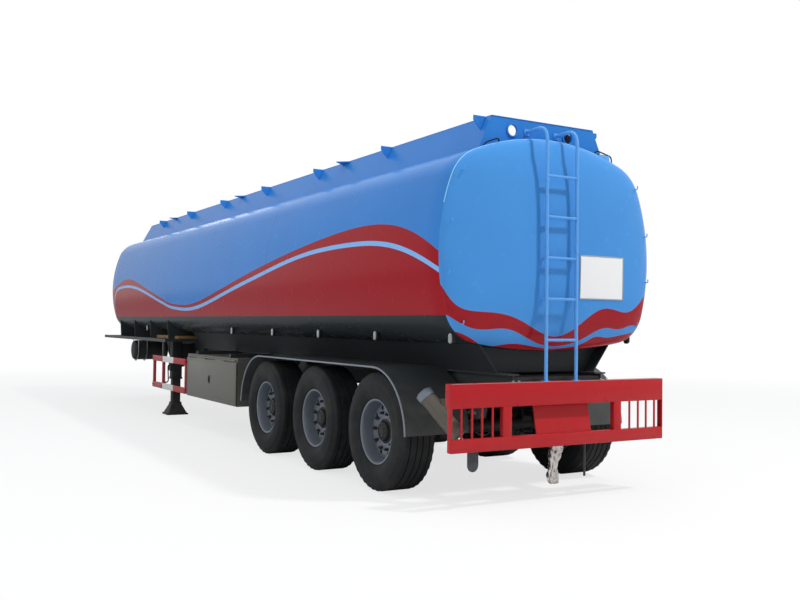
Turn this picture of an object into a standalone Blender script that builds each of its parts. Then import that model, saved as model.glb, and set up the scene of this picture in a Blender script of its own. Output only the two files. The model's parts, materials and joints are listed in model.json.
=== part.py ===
"""Three-axle tanker semi-trailer: a rounded box-section tank on a ladder frame.

Metres, +Z up, ground at z = 0, origin on the centreline at mid-length.
The front faces -Y, and +X is the trailer's left side.
"""
import math

import bmesh
import bpy
from mathutils import Matrix, Vector

# Overall layout along Y, from the bumper's rear face forward
BUMPER_REACH = 0.215
BARREL_LENGTH = 11.525
NOSE_REACH = 0.58
OVERALL_LENGTH = BUMPER_REACH + BARREL_LENGTH + NOSE_REACH
REAR_Y = OVERALL_LENGTH / 2
TANK_REAR_Y = REAR_Y - BUMPER_REACH
TANK_FRONT_Y = TANK_REAR_Y - BARREL_LENGTH
NOSE_Y = TANK_FRONT_Y - NOSE_REACH
SEAT_GAP = 0.0003
WELD = 0.002

# Tank section: crown, belly and flank arcs joined by corner arcs
TANK_WIDTH = 2.36
TANK_TOP = 3.16
TANK_BOTTOM = 1.29
CROWN_RADIUS = 2.2
BELLY_RADIUS = 5.0
FLANK_RADIUS = 1.8
FLANK_CENTRE_Z = 2.11
UPPER_CORNER = 0.42
LOWER_CORNER = 0.36
ARC_STEPS = {"crown": 3, "upper": 4, "flank": 4, "lower": 4, "belly": 2}
HEAD_DEPTH = 0.14
RIM_INSET = 0.018
HEAD_SCALES = (1.0, 0.985, 0.95, 0.88, 0.72, 0.45)

# Wheels and axles
TYRE_RADIUS = 0.535
TYRE_WIDTH = 0.296
TREAD_HALF = 0.100
BEAD_RADIUS = 0.286
RIM_WIDTH = 0.254
RIM_FLANGE = 0.012
RIM_WALL = 0.010
DUAL_SPACING = 0.34
TRACK = 1.86
AXLE_SPACING = 1.31
AXLE_COUNT = 3
REAR_AXLE_SETBACK = 0.975
WHEEL_SEGMENTS = 16
HUB_RADIUS = 0.105
DRUM_RADIUS = 0.205
SPINDLE_RADIUS = 0.045
HUB_CLEARANCE = 0.006
SPINDLE_REACH = 0.12
BEARING_OFFSET = 0.14
BEARING_LENGTH = 0.04
BEAM_RADIUS = 0.064
SHIELD_INSET = 0.014
SHIELD_SHEET = 0.016

# Chassis rails and platform
RAIL_X = 0.49
RAIL_WIDTH = 0.12
RAIL_TOP = 1.10
RAIL_DEPTH = 0.24
FLARE_X = 0.74
PLATE = 0.012
PLATFORM_LENGTH = 4.22
PLATFORM_WIDTH = 2.36
PLATFORM_TOP = 1.24
PLATFORM_DEPTH = 0.05
COUPLING_LENGTH = 1.95
COUPLING_WIDTH = 1.70
KINGPIN_SETBACK = 0.92
KINGPIN_RADIUS = 0.0254
KINGPIN_DROP = 0.084

# Springs and hangers
SPRING_WIDTH = 0.09
SPRING_TOP = 0.685
LEAF = 0.024
LEAVES = (0.54, 0.44, 0.32)
EQUALISER_HALF = 0.19
EQUALISER_DEPTH = 0.07
SEAT_WALL = 0.016
SEAT_HALF = 0.07
CHAMBER_X = 0.30
CHAMBER = ((-0.27, 0.05), (-0.25, 0.085), (-0.15, 0.085), (-0.13, 0.032), (-0.02, 0.032))

# Landing gear
LEG_X = 0.84
LEG_SETBACK = 3.10
LEG_SIZE = 0.16
INNER_LEG = 0.13
FOOT_WIDTH = 0.34
FOOT_HEIGHT = 0.17
LEG_SPLIT_Z = 0.58

# Mudguards
FENDER_OUTER_X = 1.25
FENDER_INNER_X = 0.585
FENDER_RADIUS = 0.590
FENDER_SHEET = 0.008
FENDER_LEAD = 0.13
FENDER_DROP = 0.06

# Side guards and locker
SIDE_X = 1.18
GUARD_SETBACK = 2.94
GUARD_LENGTH = 1.76
GUARD_BOTTOM = 0.45
GUARD_TOP = 0.965
GUARD_BAR = 0.09
GUARD_DEPTH = 0.03
LOCKER_SETBACK = 4.78
LOCKER_LENGTH = 2.05
LOCKER_BOTTOM = 0.44
LOCKER_TOP = 1.05
LOCKER_DEPTH = 0.42
LOCKER_WALL = 0.015
DOOR_THICK = 0.018
DOOR_GAP = 0.006
HINGE_RADIUS = 0.010

# Bumper
BUMPER_WIDTH = 2.36
BUMPER_TOP = 1.037
BUMPER_PANEL = 0.199
BUMPER_DEPTH = 0.09
LOWER_RAIL_TOP = 0.590
LOWER_RAIL_HEIGHT = 0.109
LOWER_RAIL_DEPTH = 0.06
SLAT_X = (0.765, 0.871, 0.971, 1.076)
SLAT_WIDTH = 0.018
SLAT_DEPTH = 0.012
POST_X = 0.615
POST_WIDTH = 0.09
NICHE_HALF = 0.325
NICHE_DEPTH = 0.085

# Coaming, gussets and manholes
COAMING_TOP = 3.339
COAMING_HALF = 0.67
COAMING_WALL = 0.012
COAMING_REAR_SETBACK = 0.175
COAMING_FRONT_SETBACK = 0.50
COAMING_CHAMFER = (0.17, 0.08)
GUSSET_PITCH = 1.64
GUSSET_REACH = 0.085
GUSSET_DROP = 0.17
GUSSET_SETBACK = 0.10
TAB_OFFSET = 0.66
TAB_WIDTH = 0.22
PIPE_HOLE_RADIUS = 0.052
PIPE_HOLE_X = 0.32
PIPE_HOLE_Z = 3.248
MANHOLE_COUNT = 4
NECK_RADIUS = 0.25
NECK_TOP = 3.235
LID_RADIUS = 0.27
LID_THICK = 0.022
LID_GAP = 0.006
LID_HINGE_REACH = 0.035

# Ladder
LADDER_X = 0.03
LADDER_WIDTH = 0.335
LADDER_TUBE = 0.016
RUNG_BOTTOM = 1.39
RUNG_PITCH = 0.354
RUNG_COUNT = 5
LADDER_BEND = 0.14

# Reservoirs and pipes
RESERVOIR_RADIUS = 0.17
RESERVOIR_SETBACK = 1.65
RESERVOIR_INNER = 0.58
RESERVOIR_OUTER = 1.19
PIPE_RADIUS = 0.055
PIPE_Z = 0.79
TUBE_RADIUS = 0.078

COLOURS = {
    "blue": ((0.07, 0.27, 0.62), 0.30, 0.0),
    "chassis": ((0.030, 0.036, 0.040), 0.45, 0.0),
    "red": ((0.60, 0.012, 0.020), 0.35, 0.0),
    "rubber": ((0.016, 0.017, 0.018), 0.85, 0.0),
    "wheel": ((0.28, 0.29, 0.31), 0.38, 0.7),
    "stainless": ((0.19, 0.185, 0.165), 0.40, 0.6),
    "tube": ((0.24, 0.23, 0.20), 0.5, 0.2),
}

AXLE_Z = TYRE_RADIUS
REAR_AXLE_Y = TANK_REAR_Y - REAR_AXLE_SETBACK
AXLES_Y = [REAR_AXLE_Y - i * AXLE_SPACING for i in range(AXLE_COUNT)]
PLATFORM_REAR_Y = NOSE_Y + PLATFORM_LENGTH
PLATFORM_BOTTOM = PLATFORM_TOP - PLATFORM_DEPTH
RAIL_BOTTOM = RAIL_TOP - RAIL_DEPTH
BUMPER_FRONT_Y = REAR_Y - BUMPER_DEPTH
RAIL_REAR_Y = BUMPER_FRONT_Y - SEAT_GAP
DUAL_X = TRACK / 2


def clear_scene():
    """Remove every object of the opening scene."""
    for obj in list(bpy.data.objects):
        bpy.data.objects.remove(obj, do_unlink=True)


def make_collection(name):
    group = bpy.data.collections.new(name)
    bpy.context.scene.collection.children.link(group)
    return group


clear_scene()
PARTS = make_collection("tanker_trailer")
CUTTERS = make_collection("cutters")
JOINTS = {}


def paint(name):
    """Return the Principled material of a named colour."""
    if name in bpy.data.materials:
        return bpy.data.materials[name]
    colour, roughness, metallic = COLOURS[name]
    material = bpy.data.materials.new(name)
    material.use_nodes = True
    shader = material.node_tree.nodes["Principled BSDF"]
    shader.inputs["Base Color"].default_value = (*colour, 1.0)
    shader.inputs["Roughness"].default_value = roughness
    shader.inputs["Metallic"].default_value = metallic
    material.diffuse_color = (*colour, 1.0)
    return material


def add_object(name, mesh, colour=None, group=None):
    obj = bpy.data.objects.new(name, mesh)
    (group or PARTS).objects.link(obj)
    if colour:
        mesh.materials.append(paint(colour))
    return obj


def mesh_from(work):
    """Turn a bmesh into a mesh whose faces point out."""
    bmesh.ops.recalc_face_normals(work, faces=work.faces)
    mesh = bpy.data.meshes.new("shape")
    work.to_mesh(mesh)
    work.free()
    return mesh


def box(low, high):
    """A box between two corners."""
    low = Vector(low)
    high = Vector(high)
    work = bmesh.new()
    place = Matrix.Translation((low + high) / 2) @ Matrix.Diagonal((*(high - low), 1.0))
    bmesh.ops.create_cube(work, size=1.0, matrix=place)
    return mesh_from(work)


def sided_box(side, x_in, x_out, low, high):
    """A box on one side of the centreline, from (y, z) low to high."""
    xs = sorted((side * x_in, side * x_out))
    return box((xs[0], *low), (xs[1], *high))


def rod(start, end, radius, sides=12, end_radius=None):
    """A round bar, or a cone if end_radius is given."""
    start = Vector(start)
    end = Vector(end)
    work = bmesh.new()
    turn = (end - start).to_track_quat("Z", "Y").to_matrix().to_4x4()
    place = Matrix.Translation((start + end) / 2) @ turn
    last = radius if end_radius is None else end_radius
    bmesh.ops.create_cone(work, cap_ends=True, segments=sides, radius1=radius,
                          radius2=last, depth=(end - start).length, matrix=place)
    return mesh_from(work)


def turned(profile, centre, along, sides):
    """A closed turned body from (position, radius) rows along the X or Y axis."""
    work = bmesh.new()
    turn = {"X": Matrix.Rotation(math.pi / 2, 4, "Y"), "Y": Matrix.Rotation(-math.pi / 2, 4, "X")}
    place = Matrix.Translation(centre) @ turn[along]
    rows = []
    for reach, radius in profile:
        angles = [math.tau * (i + 0.5) / sides for i in range(sides)]
        rows.append([work.verts.new(place @ Vector((radius * math.cos(a), radius * math.sin(a),
                                                    reach))) for a in angles])
    for first, second in zip(rows, rows[1:]):
        for i in range(sides):
            j = (i + 1) % sides
            work.faces.new((first[i], first[j], second[j], second[i]))
    work.faces.new(rows[0])
    work.faces.new(rows[-1])
    return mesh_from(work)


def evaluated_mesh(obj):
    """Freeze a curve object into a welded mesh in world space."""
    bpy.context.view_layer.update()
    graph = bpy.context.evaluated_depsgraph_get()
    mesh = bpy.data.meshes.new_from_object(obj.evaluated_get(graph))
    mesh.transform(obj.matrix_world)
    bpy.data.objects.remove(obj, do_unlink=True)
    work = bmesh.new()
    work.from_mesh(mesh)
    bmesh.ops.remove_doubles(work, verts=work.verts, dist=1e-5)
    return mesh_from(work)


PLANES = {
    "XY": Matrix.Identity(4),
    "XZ": Matrix.Rotation(math.pi / 2, 4, "X"),
    "YZ": Matrix(((0, 0, 1, 0), (1, 0, 0, 0), (0, 1, 0, 0), (0, 0, 0, 1))),
}


def plate(outline, thickness, plane, centre=0.0):
    """A flat outline in a plane, thickened evenly about its centre."""
    curve = bpy.data.curves.new("outline", "CURVE")
    curve.dimensions = "2D"
    curve.fill_mode = "BOTH"
    curve.extrude = thickness / 2
    line = curve.splines.new("POLY")
    line.points.add(len(outline) - 1)
    for point, (u, v) in zip(line.points, outline):
        point.co = (u, v, 0.0, 1.0)
    line.use_cyclic_u = True
    obj = bpy.data.objects.new("outline", curve)
    CUTTERS.objects.link(obj)
    shift = {"XY": (0, 0, centre), "XZ": (0, centre, 0), "YZ": (centre, 0, 0)}[plane]
    obj.matrix_world = Matrix.Translation(shift) @ PLANES[plane]
    return evaluated_mesh(obj)


def tube(path, radius, resolution=2):
    """A bent round tube through a list of points."""
    curve = bpy.data.curves.new("tube", "CURVE")
    curve.dimensions = "3D"
    curve.bevel_depth = radius
    curve.bevel_resolution = resolution
    curve.use_fill_caps = True
    line = curve.splines.new("POLY")
    line.points.add(len(path) - 1)
    for point, place in zip(line.points, path):
        point.co = (*place, 1.0)
    obj = bpy.data.objects.new("tube", curve)
    CUTTERS.objects.link(obj)
    return evaluated_mesh(obj)


def bend(corner, start_dir, end_dir, radius, steps=5):
    """Points of a round bend at a corner between two unit directions."""
    corner = Vector(corner)
    into = Vector(start_dir).normalized()
    out = Vector(end_dir).normalized()
    angle = into.angle(out)
    reach = radius * math.tan(angle / 2)
    inward = (out - into).normalized()
    centre = corner + inward * (radius / math.cos(angle / 2))
    first = corner - into * reach - centre
    axis = into.cross(out).normalized()
    turns = [angle * i / steps for i in range(steps + 1)]
    return [centre + Matrix.Rotation(turn, 3, axis) @ first for turn in turns]


def join(meshes):
    """Put several shapes into one mesh, without welding them."""
    work = bmesh.new()
    for mesh in meshes:
        work.from_mesh(mesh)
    joined = bpy.data.meshes.new("joined")
    work.to_mesh(joined)
    work.free()
    return joined


def cut_with(obj, meshes, operation):
    """Add or subtract shapes with one Boolean modifier."""
    tool = add_object(obj.name + "_" + operation.lower(), join(meshes), group=CUTTERS)
    tool.hide_render = True
    tool.display_type = "WIRE"
    modifier = obj.modifiers.new(operation.title(), "BOOLEAN")
    modifier.operation = operation
    modifier.solver = "EXACT"
    modifier.use_self = True
    modifier.object = tool


def assembly(name, colour, shapes, holes=()):
    """One welded piece: the first shape, the rest fused to it, less the holes."""
    obj = add_object(name, shapes[0], colour)
    if len(shapes) > 1:
        cut_with(obj, shapes[1:], "UNION")
    if holes:
        cut_with(obj, list(holes), "DIFFERENCE")
    return obj


def lathe(name, colour, profile, centre, side, segments=WHEEL_SEGMENTS, closed=True):
    """Turn a (radius, along) profile about the X axis, with a flat facet at the bottom."""
    mesh = bpy.data.meshes.new(name)
    half_step = math.pi / segments
    grow = 1 / math.cos(half_step)
    points = [(radius * grow * math.cos(half_step), radius * grow * math.sin(half_step), along)
              for radius, along in profile]
    edges = [(i, i + 1) for i in range(len(points) - 1)]
    if closed:
        edges.append((len(points) - 1, 0))
    mesh.from_pydata(points, edges, [])
    obj = add_object(name, mesh, colour)
    turn = Matrix.Rotation(side * math.pi / 2, 4, "Y")
    obj.matrix_world = Matrix.Translation(centre) @ turn
    screw = obj.modifiers.new("Turn", "SCREW")
    screw.axis = "Z"
    screw.steps = segments
    screw.render_steps = segments
    screw.use_merge_vertices = True
    screw.merge_threshold = 1e-5
    screw.use_smooth_shade = True
    return obj


def corner_centre(outer_centre, outer_radius, corner, upward):
    """Centre of a corner arc that rolls inside a long arc and the flank arc."""
    flank = Vector((TANK_WIDTH / 2 - FLANK_RADIUS, FLANK_CENTRE_Z))
    outer = Vector(outer_centre)
    reach_a = outer_radius - corner
    reach_b = FLANK_RADIUS - corner
    gap = flank - outer
    along = (reach_a ** 2 - reach_b ** 2 + gap.length ** 2) / (2 * gap.length)
    across = math.sqrt(reach_a ** 2 - along ** 2)
    unit = gap.normalized()
    side = Vector((-unit.y, unit.x))
    picks = [outer + unit * along + side * across * sign for sign in (1, -1)]
    return max(picks, key=lambda p: p.x + (p.y if upward else -p.y))


def tank_section(offset=0.0):
    """The tank's outline (x, z), clockwise from the crown, grown by an offset."""
    crown = Vector((0.0, TANK_TOP - CROWN_RADIUS))
    belly = Vector((0.0, TANK_BOTTOM + BELLY_RADIUS))
    flank = Vector((TANK_WIDTH / 2 - FLANK_RADIUS, FLANK_CENTRE_Z))
    upper = corner_centre(crown, CROWN_RADIUS, UPPER_CORNER, True)
    lower = corner_centre(belly, BELLY_RADIUS, LOWER_CORNER, False)

    def heading(start, end):
        return math.atan2(end.y - start.y, end.x - start.x)

    stops = [math.pi / 2, heading(crown, upper), heading(flank, upper),
             heading(flank, lower), heading(belly, lower), -math.pi / 2]
    arcs = [(crown, CROWN_RADIUS, "crown"), (upper, UPPER_CORNER, "upper"),
            (flank, FLANK_RADIUS, "flank"), (lower, LOWER_CORNER, "lower"),
            (belly, BELLY_RADIUS, "belly")]
    half = []
    for (centre, radius, key), start, end in zip(arcs, stops, stops[1:]):
        steps = ARC_STEPS[key]
        for i in range(steps):
            angle = start + (end - start) * i / steps
            reach = radius + offset
            half.append((centre.x + reach * math.cos(angle),
                         centre.y + reach * math.sin(angle)))
    half.append((0.0, TANK_BOTTOM - offset))
    mirrored = [(-x, z) for x, z in reversed(half[1:-1])]
    return half + mirrored


def tank_height(x, top, offset=0.0):
    """Height of the tank's outline above or below its middle, at a distance x."""
    points = tank_section(offset)
    half = points[:len(points) // 2 + 1]
    rows = [p for p in half if (p[1] > FLANK_CENTRE_Z) == top]
    rows.sort()
    for (x0, z0), (x1, z1) in zip(rows, rows[1:]):
        if x0 <= abs(x) <= x1:
            return z0 + (z1 - z0) * (abs(x) - x0) / (x1 - x0)
    return rows[-1][1]


def under_tank(limit):
    """The tank's underside from -limit to +limit, one seat gap lower."""
    points = tank_section(SEAT_GAP)
    low = [p for p in points if p[1] < FLANK_CENTRE_Z and abs(p[0]) < limit - 0.01]
    edge = tank_height(limit, False, SEAT_GAP)
    return [(-limit, edge)] + sorted(low) + [(limit, edge)]


def loft(rings, tip):
    """A closed body through like rings, from a flat base to a pole point."""
    work = bmesh.new()
    rows = [[work.verts.new(p) for p in ring] for ring in rings]
    for first, second in zip(rows, rows[1:]):
        for i in range(len(first)):
            j = (i + 1) % len(first)
            work.faces.new((first[i], first[j], second[j], second[i]))
    pole = work.verts.new(tip)
    last = rows[-1]
    for i in range(len(last)):
        work.faces.new((last[i], last[(i + 1) % len(last)], pole))
    work.faces.new(rows[0])
    return mesh_from(work)


def tank_head(name, base_y, facing):
    """A dished end: the section shrinks along a flattened dome curve."""
    middle = (TANK_TOP + TANK_BOTTOM) / 2
    base = tank_section(-RIM_INSET)
    rings = []
    for scale in HEAD_SCALES:
        rise = HEAD_DEPTH * math.sqrt(1 - scale ** 3)
        y = base_y + facing * (SEAT_GAP + rise)
        rings.append([(x * scale, y, middle + (z - middle) * scale) for x, z in base])
    tip = (0.0, base_y + facing * (SEAT_GAP + HEAD_DEPTH), middle)
    return add_object(name, loft(rings, tip), "blue")


def manhole_stations():
    """Centres of the manholes along Y, evenly spread inside the coaming."""
    front, rear = coaming_ends()
    step = (rear - front) / MANHOLE_COUNT
    return [front + step * (i + 0.5) for i in range(MANHOLE_COUNT)]


def coaming_ends():
    return TANK_FRONT_Y + COAMING_FRONT_SETBACK, TANK_REAR_Y - COAMING_REAR_SETBACK


def build_tank():
    """The barrel with its manhole necks, and the two dished heads."""
    middle = (TANK_FRONT_Y + TANK_REAR_Y) / 2
    shapes = [plate(tank_section(), BARREL_LENGTH, "XZ", middle)]
    for y in manhole_stations():
        base = TANK_TOP - 0.06
        shapes.append(rod((0, y, base), (0, y, NECK_TOP), NECK_RADIUS, 16))
        root = y + NECK_RADIUS - 0.02
        heel = y + LID_RADIUS + LID_HINGE_REACH + 0.014
        toe = y + LID_RADIUS + 0.012
        lug = [(root, base), (heel, base + 0.05), (heel, NECK_TOP + 0.030),
               (toe, NECK_TOP + 0.030), (toe, NECK_TOP - 0.002), (root, NECK_TOP - 0.002)]
        for x in (-0.06, 0.06):
            shapes.append(plate(lug, 0.024, "YZ", x))
    assembly("tank_barrel", "blue", shapes)
    tank_head("rear_head", TANK_REAR_Y, 1)
    tank_head("front_head", TANK_FRONT_Y, -1)


def build_lids():
    """Manhole covers, each hinged on two lugs of its neck."""
    for number, y in enumerate(manhole_stations(), 1):
        seat = NECK_TOP + LID_GAP
        hinge_y = y + LID_RADIUS + LID_HINGE_REACH
        hinge_z = seat + LID_THICK / 2
        inner = 0.048 - SEAT_GAP
        shapes = [
            rod((0, y, seat), (0, y, seat + LID_THICK), LID_RADIUS, 16),
            rod((0, y, seat + LID_THICK - WELD), (0, y, seat + LID_THICK + 0.018),
                LID_RADIUS * 0.55, 12, LID_RADIUS * 0.35),
            box((-0.03, y + LID_RADIUS - 0.03, seat), (0.03, hinge_y, seat + LID_THICK)),
            rod((-inner, hinge_y, hinge_z), (inner, hinge_y, hinge_z), 0.011, 8),
        ]
        assembly(f"manhole_lid_{number}", "blue", shapes)
        JOINTS[f"manhole_lid_{number}"] = (0.0, hinge_y, hinge_z)


def build_coaming():
    """Spill trough round the manholes, stiffened outside by gussets and tabs."""
    front, rear = coaming_ends()
    cx, cy = COAMING_CHAMFER
    base = tank_height(COAMING_HALF, True) - 0.05

    def trough(inset):
        half = COAMING_HALF - inset
        front_y = front + inset
        rear_y = rear - inset
        return [(-half, front_y), (half, front_y), (half, rear_y - cy),
                (half - cx, rear_y), (cx - half, rear_y), (-half, rear_y - cy)]

    height = COAMING_TOP - base
    centre = (COAMING_TOP + base) / 2
    shapes = [plate(trough(0.0), height, "XY", centre)]
    inner = plate(trough(COAMING_WALL), height + 0.1, "XY", centre)
    tank = plate(tank_section(SEAT_GAP), BARREL_LENGTH, "XZ", (front + rear) / 2)
    last = rear - GUSSET_SETBACK
    count = int((last - front) / GUSSET_PITCH) + 1
    stations = [last - GUSSET_PITCH * i for i in range(count)]
    root = COAMING_HALF - WELD
    for side in (-1, 1):
        for i, y in enumerate(stations):
            outline = [(side * root, COAMING_TOP), (side * (root + GUSSET_REACH), COAMING_TOP),
                       (side * root, COAMING_TOP - GUSSET_DROP)]
            if side < 0:
                outline.reverse()
            shapes.append(plate(outline, PLATE, "XZ", y))
            if i % 2 == 0 and i > 0:
                tab = y + TAB_OFFSET
                outline = [(side * root, tab - TAB_WIDTH / 2), (side * root, tab + TAB_WIDTH / 2),
                           (side * (root + GUSSET_REACH * 1.3), tab)]
                shapes.append(plate(outline, PLATE, "XY", COAMING_TOP - 0.02))
    holes = [inner, tank]
    for x in (-PIPE_HOLE_X, PIPE_HOLE_X):
        holes.append(rod((x, rear - 0.1, PIPE_HOLE_Z), (x, rear + 0.1, PIPE_HOLE_Z),
                         PIPE_HOLE_RADIUS, 16))
    obj = add_object("coaming", shapes[0], "blue")
    cut_with(obj, [inner], "DIFFERENCE")
    cut_with(obj, shapes[1:], "UNION")
    cut_with(obj, holes[1:], "DIFFERENCE")


def tyre_profile():
    """Half a tyre's rim-to-tread outline, mirrored: (radius, along)."""
    half = [(BEAD_RADIUS + SEAT_GAP, RIM_WIDTH / 2 - 0.024),
            (TYRE_RADIUS - 0.135, TYRE_WIDTH / 2),
            (TYRE_RADIUS - 0.030, TYRE_WIDTH / 2 - 0.018),
            (TYRE_RADIUS, TREAD_HALF)]
    mirrored = [(radius, -along) for radius, along in reversed(half)]
    return half + mirrored


def wheel_profile():
    """Two rims back to back on one hub and drum: (radius, along), outwards +."""
    bead = BEAD_RADIUS
    tip = bead + RIM_FLANGE
    half_rim = RIM_WIDTH / 2
    outer = DUAL_SPACING / 2
    edge = outer + half_rim
    inner_edge = outer - half_rim
    disc = 0.012
    wall = RIM_WALL
    half_outside = [
        (tip, edge), (bead, edge - wall), (bead, inner_edge + wall),
        (tip, inner_edge), (0.175, disc),
    ]
    outside = half_outside + [(r, -a) for r, a in reversed(half_outside)]
    drum_mouth = -(edge - 0.005)
    spindle = SPINDLE_RADIUS + HUB_CLEARANCE
    inner_side = [
        (bead - wall, -(edge - 0.001)), (bead - wall, -(inner_edge + 0.03)),
        (DRUM_RADIUS, -(disc + 0.02)),
        (DRUM_RADIUS, drum_mouth), (DRUM_RADIUS - 0.02, drum_mouth),
        (DRUM_RADIUS - 0.02, -0.06), (HUB_RADIUS, -0.06),
        (HUB_RADIUS - 0.02, drum_mouth + 0.03), (spindle, drum_mouth + 0.03),
        (spindle, 0.14), (0.0, 0.15),
    ]
    outer_side = [
        (0.0, 0.185), (HUB_RADIUS - 0.025, 0.185),
        (HUB_RADIUS, disc + 0.02), (0.175, disc + 0.014),
        (bead - wall, inner_edge + 0.03), (bead - wall, edge - 0.001),
    ]
    return outer_side, outside, inner_side


def build_wheels():
    """Twin tyres on back-to-back rims: one turning body at each axle end."""
    for number, y in enumerate(AXLES_Y[::-1], 1):
        for side, word in ((1, "left"), (-1, "right")):
            outer_side, outside, inner_side = wheel_profile()
            profile = outer_side + outside + inner_side
            centre = (side * DUAL_X, y, AXLE_Z)
            lathe(f"wheel_{word}_{number}", "wheel", profile, centre, side, closed=False)
            for row, shift in (("outer", 1), ("inner", -1)):
                x = side * (DUAL_X + shift * DUAL_SPACING / 2)
                lathe(f"tyre_{word}_{number}_{row}", "rubber", tyre_profile(),
                      (x, y, AXLE_Z), side)
            JOINTS[f"wheel_{word}_{number}"] = centre


def build_axles():
    """Axle beams with spindles, springs, spring seats, brake plates and chambers."""
    mouth = DUAL_X - DUAL_SPACING / 2 - RIM_WIDTH / 2 - 0.005
    bearing = SPINDLE_RADIUS + HUB_CLEARANCE - SEAT_GAP
    shield = DRUM_RADIUS - 0.012
    end = DUAL_X + SPINDLE_REACH
    race = DUAL_X - BEARING_OFFSET
    half = [(end, SPINDLE_RADIUS), (race, SPINDLE_RADIUS), (race, bearing),
            (race - BEARING_LENGTH, bearing), (race - BEARING_LENGTH, SPINDLE_RADIUS),
            (mouth, SPINDLE_RADIUS), (mouth, BEAM_RADIUS),
            (mouth - SHIELD_INSET, BEAM_RADIUS), (mouth - SHIELD_INSET, shield),
            (mouth - SHIELD_INSET - SHIELD_SHEET, shield),
            (mouth - SHIELD_INSET - SHIELD_SHEET, BEAM_RADIUS)]
    beam = half + [(-along, radius) for along, radius in reversed(half)]
    x0 = RAIL_X - SPRING_WIDTH / 2
    x1 = RAIL_X + SPRING_WIDTH / 2
    for number, y in enumerate(AXLES_Y[::-1], 1):
        shapes = [turned(beam, (0, y, AXLE_Z), "X", 10)]
        for side in (-1, 1):
            outline = []
            for i, reach in enumerate(LEAVES):
                outline += [(y + reach, SPRING_TOP - i * LEAF), (y + reach, SPRING_TOP - (i + 1) * LEAF)]
            mirrored = [(2 * y - u, v) for u, v in reversed(outline)]
            shapes.append(plate(outline + mirrored, SPRING_WIDTH, "YZ", side * RAIL_X))
            shapes.append(sided_box(side, x0 - SEAT_WALL, x1 + SEAT_WALL,
                                    (y - SEAT_HALF, AXLE_Z - BEAM_RADIUS - SEAT_WALL),
                                    (y + SEAT_HALF, SPRING_TOP + SEAT_WALL)))
            place = (side * CHAMBER_X, y, AXLE_Z + 0.02)
            shapes.append(turned(CHAMBER, place, "Y", 8))
        assembly(f"axle_{number}", "chassis", shapes)


def hanger(side, y, half_top, half_bottom, bottom):
    """A tapered spring hanger under a rail."""
    outline = [(y - half_top, RAIL_BOTTOM + WELD), (y - half_bottom, bottom),
               (y + half_bottom, bottom), (y + half_top, RAIL_BOTTOM + WELD)]
    return plate(outline, SPRING_WIDTH, "YZ", side * RAIL_X)


def build_rear_frame():
    """Rails with flared saddle plates, bulkheads, outriggers and hangers."""
    front_y = PLATFORM_REAR_Y + SEAT_GAP
    rear_y = RAIL_REAR_Y
    length = rear_y - front_y
    middle = (rear_y + front_y) / 2
    shapes = []
    inner_x = RAIL_X - RAIL_WIDTH / 2
    outer_x = RAIL_X + RAIL_WIDTH / 2
    web = 0.012
    flange = 0.014
    for side in (-1, 1):
        bottom = RAIL_BOTTOM
        outline = [(inner_x, bottom), (outer_x, bottom), (outer_x, bottom + flange),
                   (RAIL_X + web / 2, bottom + flange), (RAIL_X + web / 2, RAIL_TOP - flange),
                   (outer_x, RAIL_TOP - flange), (outer_x, RAIL_TOP), (inner_x, RAIL_TOP),
                   (inner_x, RAIL_TOP - flange), (RAIL_X - web / 2, RAIL_TOP - flange),
                   (RAIL_X - web / 2, bottom + flange), (inner_x, bottom + flange)]
        outline = [(side * x, z) for x, z in outline]
        shapes.append(plate(outline, length, "XZ", middle))
        top = tank_height(FLARE_X, False, SEAT_GAP)
        flare = [(outer_x - 0.012, RAIL_TOP - WELD), (outer_x, RAIL_TOP - WELD),
                 (FLARE_X, top), (FLARE_X - 0.012, tank_height(FLARE_X - 0.012, False, SEAT_GAP))]
        saddle_rear = TANK_REAR_Y - 0.03
        saddle = saddle_rear - front_y
        flare = [(side * x, z) for x, z in flare]
        shapes.append(plate(flare, saddle, "XZ", (saddle_rear + front_y) / 2))
    bulkhead = [(-outer_x + WELD, RAIL_TOP - WELD)] + under_tank(FLARE_X - WELD)
    bulkhead.append((outer_x - WELD, RAIL_TOP - WELD))
    stations = [rear_y - 0.30 - i * (length - 0.45) / 5 for i in range(6)]
    for y in stations:
        shapes.append(plate(bulkhead, PLATE, "XZ", y))
    for y in stations + [rear_y - 0.04]:
        shapes.append(box((-RAIL_X, y - 0.03, RAIL_TOP - 0.10), (RAIL_X, y + 0.03, RAIL_TOP - 0.03)))
    for side in (-1, 1):
        for i, y in enumerate(AXLES_Y[:-1]):
            mid = y - AXLE_SPACING / 2
            top = SPRING_TOP + SEAT_GAP + EQUALISER_DEPTH
            shapes.append(hanger(side, mid, 0.16, 0.06, top - 0.03))
            shapes.append(sided_box(side, RAIL_X - SPRING_WIDTH / 2 + 0.004,
                                    RAIL_X + SPRING_WIDTH / 2 - 0.004,
                                    (mid - EQUALISER_HALF, SPRING_TOP + SEAT_GAP),
                                    (mid + EQUALISER_HALF, top)))
        for y, facing in ((AXLES_Y[0], 1), (AXLES_Y[-1], -1)):
            centre = y + facing * (AXLE_SPACING / 2 - 0.10)
            shapes.append(hanger(side, centre, 0.14, 0.09, SPRING_TOP + SEAT_GAP))
    arm = LOCKER_TOP + SEAT_GAP
    locker_front = TANK_FRONT_Y + LOCKER_SETBACK
    for y in (locker_front + 0.35, locker_front + LOCKER_LENGTH - 0.35):
        for side in (-1, 1):
            shapes.append(sided_box(side, RAIL_X, SIDE_X - 0.045, (y - 0.03, arm),
                                    (y + 0.03, RAIL_TOP - 0.003)))
    assembly("rear_frame", "chassis", shapes)


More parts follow.
